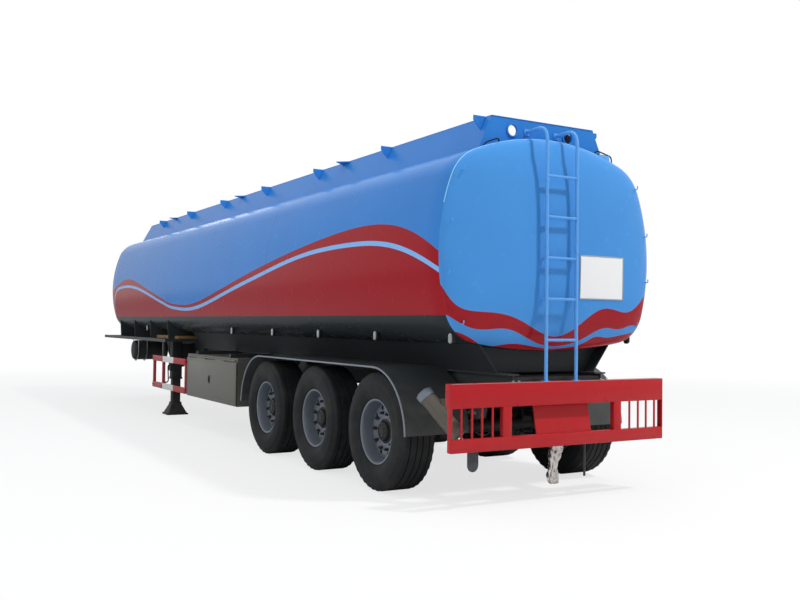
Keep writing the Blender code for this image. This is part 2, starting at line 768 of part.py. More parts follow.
def build_front_frame():
    """Wide coupling platform on cradles, with the kingpin under its nose."""
    half = PLATFORM_WIDTH / 2
    rear = PLATFORM_REAR_Y
    shapes = []
    for side in (-1, 1):
        shapes.append(sided_box(side, half - 0.045, half, (NOSE_Y, PLATFORM_BOTTOM),
                                (rear, PLATFORM_TOP)))
        rail_front = NOSE_Y + COUPLING_LENGTH + 0.06
        inner_x = RAIL_X - RAIL_WIDTH / 2
        outline = [(rail_front, PLATFORM_TOP - 0.004), (rail_front, PLATFORM_BOTTOM - 0.07),
                   (rail_front + 0.35, RAIL_BOTTOM), (rear, RAIL_BOTTOM),
                   (rear, PLATFORM_TOP - 0.004)]
        shapes.append(plate(outline, RAIL_WIDTH, "YZ", side * RAIL_X))
        shapes.append(sided_box(side, inner_x + 0.02, inner_x + 0.08,
                                (NOSE_Y + 0.02, PLATFORM_BOTTOM + 0.003),
                                (rail_front + 0.02, PLATFORM_TOP - 0.002)))
    beams = 6
    for i in range(beams):
        y = NOSE_Y + 0.03 + i * (PLATFORM_LENGTH - 0.06) / (beams - 1)
        shapes.append(box((-half + 0.02, y - 0.03, PLATFORM_BOTTOM + 0.004),
                          (half - 0.02, y + 0.03, PLATFORM_TOP - 0.003)))
    cradle = [(-half + 0.12, PLATFORM_TOP - 0.02)] + under_tank(half - 0.10)
    cradle.append((half - 0.12, PLATFORM_TOP - 0.02))
    for i in range(4):
        y = TANK_FRONT_Y + 0.25 + i * 1.05
        shapes.append(plate(cradle, PLATE, "XZ", y))
    coupler = COUPLING_WIDTH / 2
    plate_top = PLATFORM_BOTTOM + 0.006
    plate_low = PLATFORM_BOTTOM - 0.010
    kingpin_y = NOSE_Y + KINGPIN_SETBACK
    shapes.append(box((-coupler, NOSE_Y + 0.01, plate_low),
                      (coupler, NOSE_Y + COUPLING_LENGTH, plate_top)))
    shapes.append(rod((0, kingpin_y, plate_low + WELD), (0, kingpin_y, plate_low - KINGPIN_DROP),
                      KINGPIN_RADIUS, 16))
    shapes.append(rod((0, kingpin_y, plate_low - KINGPIN_DROP + 0.016),
                      (0, kingpin_y, plate_low - KINGPIN_DROP), KINGPIN_RADIUS * 1.4, 16))
    assembly("front_frame", "chassis", shapes)


def build_landing_gear():
    """Two telescopic legs with boot feet, joined by the crank shaft."""
    y = TANK_FRONT_Y + LEG_SETBACK
    half = LEG_SIZE / 2
    inner = INNER_LEG / 2
    top = PLATFORM_BOTTOM + 0.0036
    shapes = []
    for side in (-1, 1):
        shapes.append(sided_box(side, LEG_X - half, LEG_X + half, (y - half, LEG_SPLIT_Z),
                                (y + half, top)))
        shapes.append(sided_box(side, LEG_X - inner, LEG_X + inner,
                                (y - inner, FOOT_HEIGHT - 0.02), (y + inner, LEG_SPLIT_Z + 0.02)))
        work = bmesh.new()
        place = (Matrix.Translation((side * LEG_X, y, FOOT_HEIGHT / 2))
                 @ Matrix.Rotation(math.pi / 4, 4, "Z"))
        bmesh.ops.create_cone(work, cap_ends=True, segments=4,
                              radius1=FOOT_WIDTH / math.sqrt(2),
                              radius2=(INNER_LEG + 0.03) / math.sqrt(2),
                              depth=FOOT_HEIGHT, matrix=place)
        shapes.append(mesh_from(work))
        bracket_in = RAIL_X + RAIL_WIDTH / 2 + SEAT_GAP
        shapes.append(sided_box(side, bracket_in, LEG_X - half + 0.01, (y - 0.05, 0.90),
                                (y + 0.05, 1.15)))
    shaft_z = 0.80
    shapes.append(rod((-LEG_X, y, shaft_z), (LEG_X, y, shaft_z), 0.02, 10))
    hand = Vector((LEG_X + half + 0.03, y, shaft_z))
    crank = [(LEG_X, y, shaft_z), hand, hand + Vector((0.03, 0.03, -0.03)),
             hand + Vector((0.04, 0.10, -0.24)), hand + Vector((0.06, 0.12, -0.27)),
             hand + Vector((0.13, 0.12, -0.27))]
    shapes.append(tube(crank, 0.010))
    assembly("landing_gear", "chassis", shapes)


def fender_line(radius):
    """Side outline of the mudguard run: rear arc, flat top, front arc (y, z)."""
    rear = AXLES_Y[0]
    front = AXLES_Y[-1] - FENDER_LEAD
    steps = 6
    low = math.asin(FENDER_DROP / FENDER_RADIUS)
    angles = [low + (math.pi / 2 - low) * i / steps for i in range(steps + 1)]
    line = [(rear + radius * math.cos(a), AXLE_Z + radius * math.sin(a)) for a in angles]
    line += [(front - radius * math.cos(a), AXLE_Z + radius * math.sin(a))
             for a in reversed(angles)]
    return line


def build_mudguards():
    """Sheet mudguards over the three twin wheels, with inner flange and brackets."""
    width = FENDER_OUTER_X - FENDER_INNER_X
    for side, word in ((1, "left"), (-1, "right")):
        outer = fender_line(FENDER_RADIUS)
        inner = fender_line(FENDER_RADIUS - FENDER_SHEET)
        centre = side * (FENDER_OUTER_X + FENDER_INNER_X) / 2
        shapes = [plate(outer + inner[::-1], width, "YZ", centre)]
        top = AXLE_Z + FENDER_RADIUS
        ends = (AXLES_Y[-1] - 0.25, AXLES_Y[0] + 0.1)
        shapes.append(sided_box(side, FENDER_INNER_X, FENDER_INNER_X + FENDER_SHEET,
                                (ends[0], top - 0.12), (ends[1], top - 0.003)))
        rail_face = RAIL_X + RAIL_WIDTH / 2 + SEAT_GAP
        for i in range(4):
            y = ends[0] + 0.15 + i * (ends[1] - ends[0] - 0.3) / 3
            shapes.append(sided_box(side, rail_face, FENDER_INNER_X + 0.004,
                                    (y - 0.03, top - 0.10), (y + 0.03, top - 0.03)))
        assembly(f"mudguard_{word}", "chassis", shapes)


def guard(name, side, front_y, rear_y, posts, hang_to):
    """A two-bar side guard on flat posts, hung from the frame above."""
    x_in = SIDE_X - GUARD_DEPTH
    shapes = []
    for low in (GUARD_BOTTOM, GUARD_TOP - GUARD_BAR):
        shapes.append(sided_box(side, x_in, SIDE_X, (front_y, low), (rear_y, low + GUARD_BAR)))
    for y, top in zip(posts, hang_to):
        shapes.append(sided_box(side, x_in - 0.02, SIDE_X - 0.008, (y - 0.025, GUARD_BOTTOM + 0.01),
                                (y + 0.025, top)))
    assembly(name, "red", shapes)


def build_side_guards():
    front = TANK_FRONT_Y + GUARD_SETBACK
    rear = front + GUARD_LENGTH
    under_platform = PLATFORM_BOTTOM - SEAT_GAP
    left_posts = (front + 0.026, front + 0.55)
    guard("side_guard_left", 1, front, rear, left_posts + (rear - 0.026,),
          (GUARD_TOP - 0.01, under_platform, GUARD_TOP - 0.01))
    locker_front = TANK_FRONT_Y + LOCKER_SETBACK
    far = locker_front + LOCKER_LENGTH
    under_arm = LOCKER_TOP
    posts = left_posts + (locker_front + 0.35, far - 0.35, far - 0.026)
    guard("side_guard_right", -1, front, far, posts,
          (GUARD_TOP - 0.01, under_platform, under_arm, under_arm, GUARD_TOP - 0.01))


def build_locker():
    """Valve locker: an open-fronted box whose door lifts on a top hinge."""
    front = TANK_FRONT_Y + LOCKER_SETBACK
    rear = front + LOCKER_LENGTH
    face = SIDE_X - DOOR_THICK - DOOR_GAP
    back = SIDE_X - LOCKER_DEPTH
    hinge_x = SIDE_X - DOOR_THICK / 2
    hinge_z = LOCKER_TOP - 0.030
    shell = box((back, front, LOCKER_BOTTOM), (face, rear, LOCKER_TOP))
    inside = box((back + LOCKER_WALL, front + LOCKER_WALL, LOCKER_BOTTOM + LOCKER_WALL),
                 (face + 0.1, rear - LOCKER_WALL, LOCKER_TOP - 0.055))
    shapes = [shell]
    spans = 5
    step = (LOCKER_LENGTH - 0.10) / spans
    door_shapes = [box((SIDE_X - DOOR_THICK, front + 0.004, LOCKER_BOTTOM + 0.004),
                       (SIDE_X, rear - 0.004, hinge_z - HINGE_RADIUS - 0.012))]
    for i in range(spans):
        y0 = front + 0.05 + i * step
        y1 = y0 + step
        pin = rod((hinge_x, y0 + SEAT_GAP, hinge_z), (hinge_x, y1 - SEAT_GAP, hinge_z),
                  HINGE_RADIUS, 10)
        if i % 2 == 0:
            shapes.append(pin)
            shapes.append(box((face - 0.004, y0 + 0.02, hinge_z - 0.006),
                              (hinge_x, y1 - 0.02, hinge_z + 0.006)))
        else:
            door_shapes.append(pin)
            door_shapes.append(box((hinge_x - 0.005, y0 + 0.02, hinge_z - HINGE_RADIUS - 0.02),
                                   (hinge_x + 0.005, y1 - 0.02, hinge_z - 0.003)))
    obj = add_object("locker", shapes[0], "stainless")
    cut_with(obj, [inside], "DIFFERENCE")
    cut_with(obj, shapes[1:], "UNION")
    assembly("locker_door", "stainless", door_shapes)
    JOINTS["locker_door"] = (hinge_x, (front + rear) / 2, hinge_z)


def build_bumper():
    """Rear underrun bumper: deep panel, slatted lamp guards and a plate niche."""
    half = BUMPER_WIDTH / 2
    low = BUMPER_TOP - BUMPER_PANEL
    face = REAR_Y
    shapes = [box((-half, BUMPER_FRONT_Y, low), (half, face, BUMPER_TOP)),
              box((-half, face - LOWER_RAIL_DEPTH, LOWER_RAIL_TOP - LOWER_RAIL_HEIGHT),
                  (half, face, LOWER_RAIL_TOP))]
    span = (LOWER_RAIL_TOP - WELD, low + WELD)
    for side in (-1, 1):
        shapes.append(sided_box(side, half - 0.015, half - 0.001,
                                (face - LOWER_RAIL_DEPTH, span[0]), (face - 0.001, span[1])))
        shapes.append(sided_box(side, POST_X - POST_WIDTH / 2, POST_X + POST_WIDTH / 2,
                                (face - 0.05, span[0]), (face - 0.001, span[1])))
        for x in SLAT_X:
            shapes.append(sided_box(side, x - SLAT_WIDTH / 2, x + SLAT_WIDTH / 2,
                                    (face - 0.002 - SLAT_DEPTH, span[0]), (face - 0.002, span[1])))
    sheet = 0.010
    waist = (low + LOWER_RAIL_TOP) / 2 + 0.01
    niche = [(face - 0.02, low + WELD), (face - NICHE_DEPTH, waist),
             (face - 0.01, LOWER_RAIL_TOP - WELD), (face - 0.01 - sheet * 2, LOWER_RAIL_TOP - WELD),
             (face - NICHE_DEPTH - sheet, waist), (face - 0.02 - sheet * 2, low + WELD)]
    shapes.append(plate(niche, 2 * NICHE_HALF, "YZ", 0.0))
    assembly("bumper", "red", shapes)


def build_ladder():
    """Rear ladder from the bumper's top, hooked over the coaming's rear wall."""
    _, coaming_rear = coaming_ends()
    y = REAR_Y - LADDER_TUBE - 0.004
    hook = COAMING_TOP - 0.035
    shapes = []
    for side in (-1, 1):
        x = LADDER_X + side * LADDER_WIDTH / 2
        end = Vector((x, coaming_rear + 0.05, hook - 0.05))
        corner = Vector((x, y, hook))
        out = (end - corner).normalized()
        path = [(x, y, BUMPER_TOP + SEAT_GAP)]
        path += bend(corner, (0, 0, 1), out, LADDER_BEND, 6)
        path += [tuple(end), (x, coaming_rear + SEAT_GAP, end.z)]
        shapes.append(tube(path, LADDER_TUBE))
    for i in range(RUNG_COUNT):
        z = RUNG_BOTTOM + i * RUNG_PITCH
        shapes.append(rod((LADDER_X - LADDER_WIDTH / 2, y, z),
                          (LADDER_X + LADDER_WIDTH / 2, y, z), LADDER_TUBE * 0.8, 8))
    assembly("ladder", "blue", shapes)


def build_reservoirs():
    """Two air reservoirs across the frame, strapped under the platform."""
    y = TANK_FRONT_Y + RESERVOIR_SETBACK
    z = PLATFORM_BOTTOM - RESERVOIR_RADIUS - 0.012
    for side, word in ((1, "left"), (-1, "right")):
        ends = (RESERVOIR_INNER + 0.05, RESERVOIR_OUTER - 0.05)
        shapes = [rod((side * ends[0], y, z), (side * ends[1], y, z), RESERVOIR_RADIUS, 12)]
        for start, reach in ((ends[0], -0.05), (ends[1], 0.05)):
            shapes.append(rod((side * (start - math.copysign(WELD, reach)), y, z),
                              (side * (start + reach), y, z), RESERVOIR_RADIUS, 12,
                              RESERVOIR_RADIUS * 0.6))
        for x in (0.98, 1.13):
            shapes.append(sided_box(side, x - 0.02, x + 0.02, (y - 0.06, z),
                                    (y + 0.06, PLATFORM_BOTTOM - SEAT_GAP)))
        assembly(f"reservoir_{word}", "chassis", shapes)


def build_pipes():
    """Bottom outlets with foot valves, run to the locker and a drain header."""
    front = TANK_FRONT_Y + LOCKER_SETBACK
    back = SIDE_X - LOCKER_DEPTH
    shapes = []
    stations = [front + LOCKER_LENGTH * f for f in (0.12, 0.5, 0.85)]
    header_x = 0.0
    top = TANK_BOTTOM - SEAT_GAP
    shapes.append(rod((header_x, stations[0] - 0.15, PIPE_Z),
                      (header_x, stations[-1] + 0.15, PIPE_Z), PIPE_RADIUS * 0.9, 8))
    for y in stations:
        shapes.append(rod((header_x, y, PIPE_Z - 0.013), (header_x, y, top - 0.01), PIPE_RADIUS, 10))
        shapes.append(rod((header_x, y, top - 0.02), (header_x, y, top), PIPE_RADIUS * 2.0, 10))
        shapes.append(rod((header_x, y, 0.98), (header_x, y, 1.14), PIPE_RADIUS * 1.5, 12))
        shapes.append(rod((header_x - 0.017, y, PIPE_Z + 0.003), (back - SEAT_GAP, y, PIPE_Z + 0.003),
                          PIPE_RADIUS, 9))
    assembly("discharge_pipes", "chassis", shapes)


def build_tail_pieces():
    """Inclined holder tube beside the bumper, with its arm to the rail."""
    high = Vector((1.11, TANK_REAR_Y - 0.27, 0.955))
    low = Vector((0.90, TANK_REAR_Y - 0.02, 0.620))
    middle = (high + low) / 2
    along = (low - high).normalized()
    rail_face = RAIL_X + RAIL_WIDTH / 2 + SEAT_GAP
    shapes = [rod(high, low, TUBE_RADIUS, 16),
              rod(high - along * 0.012, high + along * 0.05, TUBE_RADIUS + 0.006, 16),
              sided_box(1, rail_face, middle.x, (middle.y - 0.03, RAIL_BOTTOM),
                        (middle.y + 0.03, RAIL_BOTTOM + 0.03)),
              sided_box(1, middle.x - 0.03, middle.x + 0.01, (middle.y - 0.028, middle.z),
                        (middle.y + 0.028, RAIL_BOTTOM + 0.028))]
    assembly("holder_tube", "tube", shapes)


def add_axes():
    """An empty on each joint's axis, which carries its moving pieces."""
    for name, place in JOINTS.items():
        empty = bpy.data.objects.new(name + "_axis", None)
        empty.location = place
        PARTS.objects.link(empty)
        for obj in list(PARTS.objects):
            tyre = name.startswith("wheel_") and obj.name.startswith(name.replace("wheel", "tyre"))
            if obj.name == name or tyre:
                obj.parent = empty
                obj.matrix_parent_inverse = Matrix.Translation(place).inverted()


build_tank()
build_lids()
build_coaming()
build_wheels()
build_axles()
build_rear_frame()
build_front_frame()
build_landing_gear()
build_mudguards()
build_side_guards()
build_locker()
build_bumper()
build_ladder()
build_reservoirs()
build_pipes()
build_tail_pieces()
add_axes()
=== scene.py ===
"""Looks of a three-axle tanker semi-trailer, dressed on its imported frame.

Metres, +Z up, ground at z = 0. The coupling end faces -Y and +X is the trailer's left side.
Every new surface is worked out with numpy as whole arrays and put into a mesh at the origin.
"""

import json
import logging
import math
from dataclasses import dataclass
from enum import Enum
from functools import cached_property

import bmesh
import bpy
import numpy as np
from mathutils import Matrix, Vector

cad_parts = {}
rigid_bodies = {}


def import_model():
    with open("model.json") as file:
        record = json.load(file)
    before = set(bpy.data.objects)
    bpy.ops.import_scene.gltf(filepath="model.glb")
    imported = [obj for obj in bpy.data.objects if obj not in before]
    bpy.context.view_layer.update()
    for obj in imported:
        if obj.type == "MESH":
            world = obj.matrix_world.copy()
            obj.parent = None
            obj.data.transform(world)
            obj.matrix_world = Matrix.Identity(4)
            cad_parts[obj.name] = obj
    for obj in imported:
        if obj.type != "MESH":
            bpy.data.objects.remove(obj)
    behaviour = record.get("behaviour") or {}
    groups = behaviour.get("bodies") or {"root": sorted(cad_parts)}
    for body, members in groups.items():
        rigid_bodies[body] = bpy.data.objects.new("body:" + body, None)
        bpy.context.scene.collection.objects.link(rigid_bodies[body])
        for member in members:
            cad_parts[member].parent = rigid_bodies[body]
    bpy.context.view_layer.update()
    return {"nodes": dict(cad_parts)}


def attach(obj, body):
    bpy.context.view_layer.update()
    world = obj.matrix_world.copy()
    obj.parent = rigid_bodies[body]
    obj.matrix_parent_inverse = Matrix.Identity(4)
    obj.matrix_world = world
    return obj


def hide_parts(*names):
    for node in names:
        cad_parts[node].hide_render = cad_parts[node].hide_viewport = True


logging.basicConfig(level=logging.INFO, format="%(message)s")
LOG = logging.getLogger("trailer")

for stale in list(bpy.data.objects):
    bpy.data.objects.remove(stale, do_unlink=True)
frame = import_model()

Array = np.ndarray
TRAILER = "trailer"
SIDES = ("left", "right")
TANK_REAR = 5.945
TANK_FRONT = -5.58
TANK_MID_Z = 2.225
RAIL_X = 0.49
RAIL_FACE = 0.5505
BUMPER_FACE = 6.16
BUMPER_TOP = 1.037
AXLES = {1: 2.35, 2: 3.66, 3: 4.97}
AXLE_Z = 0.535
OUTLETS = (-0.554, 0.225, 0.9425)
OUTLET_Z = 0.793
MANHOLES = {n: -5.08 + 2.7125 * (n - 0.5) for n in (1, 2, 3, 4)}


class Plane(Enum):
    """The plane that a flat outline lies in, as the order of its (u, v, depth) columns."""

    XY = (0, 1, 2)
    XZ = (0, 2, 1)
    YZ = (2, 0, 1)


class Axis(Enum):
    """The axis that a turned shape or a bolt stands on."""

    X = 0
    Y = 1
    Z = 2


def copied(faces: list, count: int, size: int) -> list:
    """Return polygon groups repeated for each of many copies of a shape's points.

    Args:
        faces: the groups of the first copy.
        count: number of copies.
        size: number of points in one copy.
    Returns:
        The groups of all copies.
    """
    steps = np.arange(count)[:, None, None] * size
    return [(group[None] + steps).reshape(-1, group.shape[1]) for group in faces]


@dataclass
class Shape:
    """Points of a surface with its polygons, grouped by their number of corners."""

    points: Array
    faces: list

    def moved(self, offset: tuple) -> "Shape":
        """Return the shape shifted by an offset."""
        return Shape(self.points + np.asarray(offset, float), self.faces)

    def turned(self, degrees: float, axis: Axis) -> "Shape":
        """Return the shape turned about an axis through the origin."""
        turn = np.array(Matrix.Rotation(math.radians(degrees), 3, axis.name))
        return Shape(self.points @ turn.T, self.faces)

    def mirrored(self) -> "Shape":
        """Return the shape mirrored in X, with its faces turned round again."""
        return Shape(self.points * (-1.0, 1.0, 1.0), [f[:, ::-1] for f in self.faces])

    def repeated(self, offsets: Array) -> "Shape":
        """Return copies of the shape at many offsets, as one shape.

        Args:
            offsets: (k, 3) array of shifts.
        Returns:
            One shape of k copies.
        """
        offsets = np.atleast_2d(np.asarray(offsets, float))
        points = (self.points[None] + offsets[:, None]).reshape(-1, 3)
        return Shape(points, copied(self.faces, len(offsets), len(self.points)))

    def ringed(self, count: int, axis: Axis) -> "Shape":
        """Return copies turned evenly about an axis through the origin.

        Args:
            count: number of copies over the full turn.
            axis: the axis that they turn about.
        Returns:
            One shape of all copies.
        """
        angles = np.arange(count) * 2 * np.pi / count
        cos, sin = np.cos(angles), np.sin(angles)
        first, second = [i for i in range(3) if i != axis.value]
        points = np.repeat(self.points[None], count, 0)
        u, v = self.points[None, :, first], self.points[None, :, second]
        points[:, :, first] = u * cos[:, None] - v * sin[:, None]
        points[:, :, second] = u * sin[:, None] + v * cos[:, None]
        return Shape(points.reshape(-1, 3), copied(self.faces, count, len(self.points)))


def merged(shapes: list) -> Shape:
    """Return several shapes as one, each group of polygons shifted to its own points."""
    sizes = np.cumsum([0] + [len(s.points) for s in shapes[:-1]])
    faces = [f + start for s, start in zip(shapes, sizes) for f in s.faces]
    return Shape(np.concatenate([s.points for s in shapes]), faces)


def on_side(shape: Shape, side: str) -> Shape:
    """Return a shape made for the left as it is, or mirrored for the right."""
    return shape if side == "left" else shape.mirrored()


def outward(shape: Shape) -> Shape:
    """Return a closed shape with its faces pointing out.

    The volume is the sum over each polygon's fan of corner . (corner x corner) / 6, and a
    negative one means that the faces point in.
    """
    centre = shape.points.mean(0)
    volume = 0.0
    for group in shape.faces:
        corners = shape.points[group] - centre
        fan = np.cross(corners[:, 1:-1], corners[:, 2:])
        volume += np.einsum("ij,ikj->", corners[:, 0], fan)
    if volume < 0:
        return Shape(shape.points, [f[:, ::-1] for f in shape.faces])
    return shape


def skin(points: Array, wrap_u: bool = False, wrap_v: bool = False, cap: bool = False) -> Shape:
    """Return quads over a grid of points.

    Args:
        points: (rows, columns, 3) array.
        wrap_u: the last row joins the first.
        wrap_v: the last column joins the first.
        cap: close the first and the last row with a polygon.
    Returns:
        The surface as a shape.
    """
    rows, columns = points.shape[:2]
    u, v = np.meshgrid(np.arange(rows - (not wrap_u)), np.arange(columns - (not wrap_v)),
                       indexing="ij")
    nu, nv = (u + 1) % rows, (v + 1) % columns
    quads = np.stack([u * columns + v, nu * columns + v, nu * columns + nv, u * columns + nv], -1)
    faces = [quads.reshape(-1, 4)]
    if cap:
        ring = np.arange(columns)
        faces.append(np.stack([ring, (rows - 1) * columns + ring[::-1]]))
    return Shape(points.reshape(-1, 3), faces)


def revolved(profile: list, centre: tuple = (0, 0, 0), axis: Axis = Axis.X, steps: int = 48,
             ring: bool = False) -> Shape:
    """Return a profile turned about an axis: centre + along + radius * (cos, sin).

    Args:
        profile: (radius, along) rows.
        centre: where along is zero.
        axis: the axis of turning.
        steps: number of points round.
        ring: the profile closes on itself, as a tyre's does.
    Returns:
        A closed shape.
    """
    rows = np.asarray(profile, float)
    angle = (np.arange(steps) + 0.5) * 2 * np.pi / steps
    first, second = [i for i in range(3) if i != axis.value]
    points = np.zeros((len(rows), steps, 3))
    points[:, :, axis.value] = rows[:, 1:2]
    points[:, :, first] = rows[:, :1] * np.cos(angle)
    points[:, :, second] = rows[:, :1] * np.sin(angle)
    return outward(skin(points + np.asarray(centre, float), ring, True, not ring))


def circle(radius: float, sides: int = 12, squash: float = 1.0) -> Array:
    """Return a round or oval outline as (u, v) rows."""
    angle = np.arange(sides) * 2 * np.pi / sides
    return np.stack([radius * np.cos(angle), radius * squash * np.sin(angle)], -1)


def swept(path: Array, outline: Array, reference: tuple | None = None, loop: bool = False) -> Shape:
    """Return an outline carried along a path.

    At each point the side direction is reference x tangent and the other is tangent x side, so
    the outline stays square to the path and does not twist.

    Args:
        path: (n, 3) points.
        outline: (m, 2) closed outline.
        reference: a direction that no tangent runs along, by default the path's own plane's.
        loop: the path closes on itself.
    Returns:
        A closed shape.
    """
    path = np.asarray(path, float)
    if loop:
        tangent = np.roll(path, -1, 0) - np.roll(path, 1, 0)
    else:
        tangent = np.gradient(path, axis=0)
    tangent /= np.linalg.norm(tangent, axis=1, keepdims=True)
    if reference is None:
        reference = np.linalg.svd(path - path.mean(0))[2][-1]
    side = np.cross(np.asarray(reference, float), tangent)
    side /= np.linalg.norm(side, axis=1, keepdims=True)
    over = np.cross(tangent, side)
    outline = np.asarray(outline, float)
    points = (path[:, None] + outline[None, :, :1] * side[:, None]
              + outline[None, :, 1:] * over[:, None])
    return outward(skin(points, loop, True, not loop))


def tube(path: Array, radius: float, sides: int = 12, reference: tuple | None = None) -> Shape:
    """Return a round tube along a path."""
    return swept(path, circle(radius, sides), reference)


def edged(loop: Array, outline: Array, reference: tuple) -> list:
    """Return a straight bar of an outline along each side of a closed loop of corners."""
    return [swept(np.stack([a, b]), outline, reference) for a, b in zip(loop, np.roll(loop, -1, 0))]


def symmetric(half: list, middle: float = 0.0) -> list:
    """Return (radius, along) rows followed by their mirror image about a middle."""
    return half + [(r, 2 * middle - a) for r, a in reversed(half)]


def rounded(corners: list, radius: float, steps: int = 6) -> Array:
    """Return a path whose inner corners are rounded.

    Each corner B is replaced by the curve (1-t)^2 A + 2t(1-t) B + t^2 C, where A and C lie on
    its two sides at the given radius, or at 0.45 of a side that is shorter.
    """
    p = np.asarray(corners, float)
    before, after = p[:-2] - p[1:-1], p[2:] - p[1:-1]
    back, ahead = (np.linalg.norm(d, axis=1, keepdims=True) for d in (before, after))
    start = p[1:-1] + before / back * np.minimum(radius, 0.45 * back)
    end = p[1:-1] + after / ahead * np.minimum(radius, 0.45 * ahead)
    t = np.linspace(0, 1, steps + 1)[None, :, None]
    curve = ((1 - t) ** 2 * start[:, None] + 2 * t * (1 - t) * p[1:-1][:, None]
             + t ** 2 * end[:, None])
    return np.concatenate([p[:1], curve.reshape(-1, 3), p[-1:]])


def soft_box(low: tuple, high: tuple, radius: float = 0.004, steps: int = 2) -> Shape:
    """Return a box with rounded edges.

    Each point is the nearest inner corner plus the radius times a direction on the sphere.
    """
    low, high = (np.minimum(low, high).astype(float), np.maximum(low, high).astype(float))
    half = (high - low) / 2
    radius = min(radius, 0.49 * float(half.min()))
    arc = np.linspace(0, np.pi / 2, steps + 1)
    turn = np.concatenate([arc + k * np.pi / 2 for k in range(4)])
    lift = np.concatenate([arc - np.pi / 2, arc])
    sign_x = np.repeat([1, -1, -1, 1], steps + 1)
    sign_y = np.repeat([1, 1, -1, -1], steps + 1)
    sign_z = np.repeat([-1, 1], steps + 1)
    inner = half - radius
    points = np.stack(np.broadcast_arrays(
        sign_x * inner[0] + radius * np.cos(lift)[:, None] * np.cos(turn),
        sign_y * inner[1] + radius * np.cos(lift)[:, None] * np.sin(turn),
        (sign_z * inner[2] + radius * np.sin(lift))[:, None]), -1)
    return outward(skin(points + (low + high) / 2, False, True, True))


def inset(outline: Array, reach: float) -> Array:
    """Return an outline moved inwards: each corner goes along the mean of its sides' normals."""
    ahead = np.roll(outline, -1, 0) - outline
    ahead /= np.linalg.norm(ahead, axis=1, keepdims=True)
    normal = np.stack([-ahead[:, 1], ahead[:, 0]], -1)
    before = np.roll(normal, 1, 0)
    return outline + reach * (normal + before) / (1 + (normal * before).sum(1))[:, None]


def plate(outline: list, thickness: float, plane: Plane, centre: float = 0.0,
          edge: float = 0.0015) -> Shape:
    """Return a flat outline given a thickness, with chamfered edges.

    Args:
        outline: (u, v) corners.
        thickness: the sheet's thickness.
        plane: the plane of the outline.
        centre: the middle of the thickness along the third axis.
        edge: width of the chamfer.
    Returns:
        A closed shape.
    """
    flat = np.asarray(outline, float)
    u, v = flat[:, 0], flat[:, 1]
    if (u * np.roll(v, -1) - np.roll(u, -1) * v).sum() < 0:
        flat = flat[::-1]
    edge = min(edge, thickness * 0.3)
    half = thickness / 2
    rings = [(edge, -half), (0.0, edge - half), (0.0, half - edge), (edge, half)]
    rows = [np.column_stack([inset(flat, reach), np.full(len(flat), centre + depth)])
            for reach, depth in rings]
    points = np.stack(rows)[:, :, list(plane.value)]
    return outward(skin(points, False, True, True))


def corner_rounded(width: float, height: float, radius: float, steps: int = 5) -> Array:
    """Return a rectangle's outline about the origin with round corners."""
    arc = np.linspace(0, np.pi / 2, steps + 1)
    turn = np.concatenate([arc + k * np.pi / 2 for k in range(4)])
    sign_u = np.repeat([1, -1, -1, 1], steps + 1)
    sign_v = np.repeat([1, 1, -1, -1], steps + 1)
    return np.stack([sign_u * (width / 2 - radius) + radius * np.cos(turn),
                     sign_v * (height / 2 - radius) + radius * np.sin(turn)], -1)


def bolt(size: float, axis: Axis, facing: int = 1) -> Shape:
    """Return a hexagon bolt head on a washer, standing along an axis."""
    washer = revolved([(size * 1.25, -0.001), (size * 1.25, size * 0.2), (size, size * 0.22)],
                      axis=axis, steps=12)
    head = revolved([(size, 0.0), (size, size * 0.8), (size * 0.82, size * 1.0)],
                    axis=axis, steps=6)
    both = merged([washer, head])
    if facing < 0:
        flip = np.ones(3)
        flip[axis.value] = -1
        return Shape(both.points * flip, [f[:, ::-1] for f in both.faces])
    return both


def square_rays() -> tuple:
    """Return across and up, from -1 to 1, of 32 points round a square, as two arrays."""
    side, end = np.linspace(-1, 1, 9)[:-1], np.ones(8)
    return np.concatenate([side, end, -side, -end]), np.concatenate([-end, side, end, -side])


def holed(border: Array, radius: float, rings: tuple, hole: tuple = (0.0, 0.0)) -> Array:
    """Return a flat grid from a round hole out to a border, as (ring, point, u and v).

    Args:
        border: (n, 2) points round the outside.
        radius: the hole's radius.
        rings: each ring's share of the way from the hole to the border.
        hole: the hole's middle.
    Returns:
        The grid, hole first.
    """
    out = border - hole
    rim = hole + out / np.linalg.norm(out, axis=1, keepdims=True) * radius
    t = np.array(rings)[:, None, None]
    return rim * (1 - t) + border * t


def tint(code: str) -> tuple:
    """Return a screen colour code as linear red, green and blue."""
    parts = np.array([int(code[i:i + 2], 16) for i in (0, 2, 4)]) / 255
    linear = np.where(parts <= 0.04045, parts / 12.92, ((parts + 0.055) / 1.055) ** 2.4)
    return tuple(float(x) for x in linear)


def scaled(colour: tuple, factor: float) -> tuple:
    """Return a colour made lighter or darker, with no part over 1."""
    return tuple(min(1.0, part * factor) for part in colour)


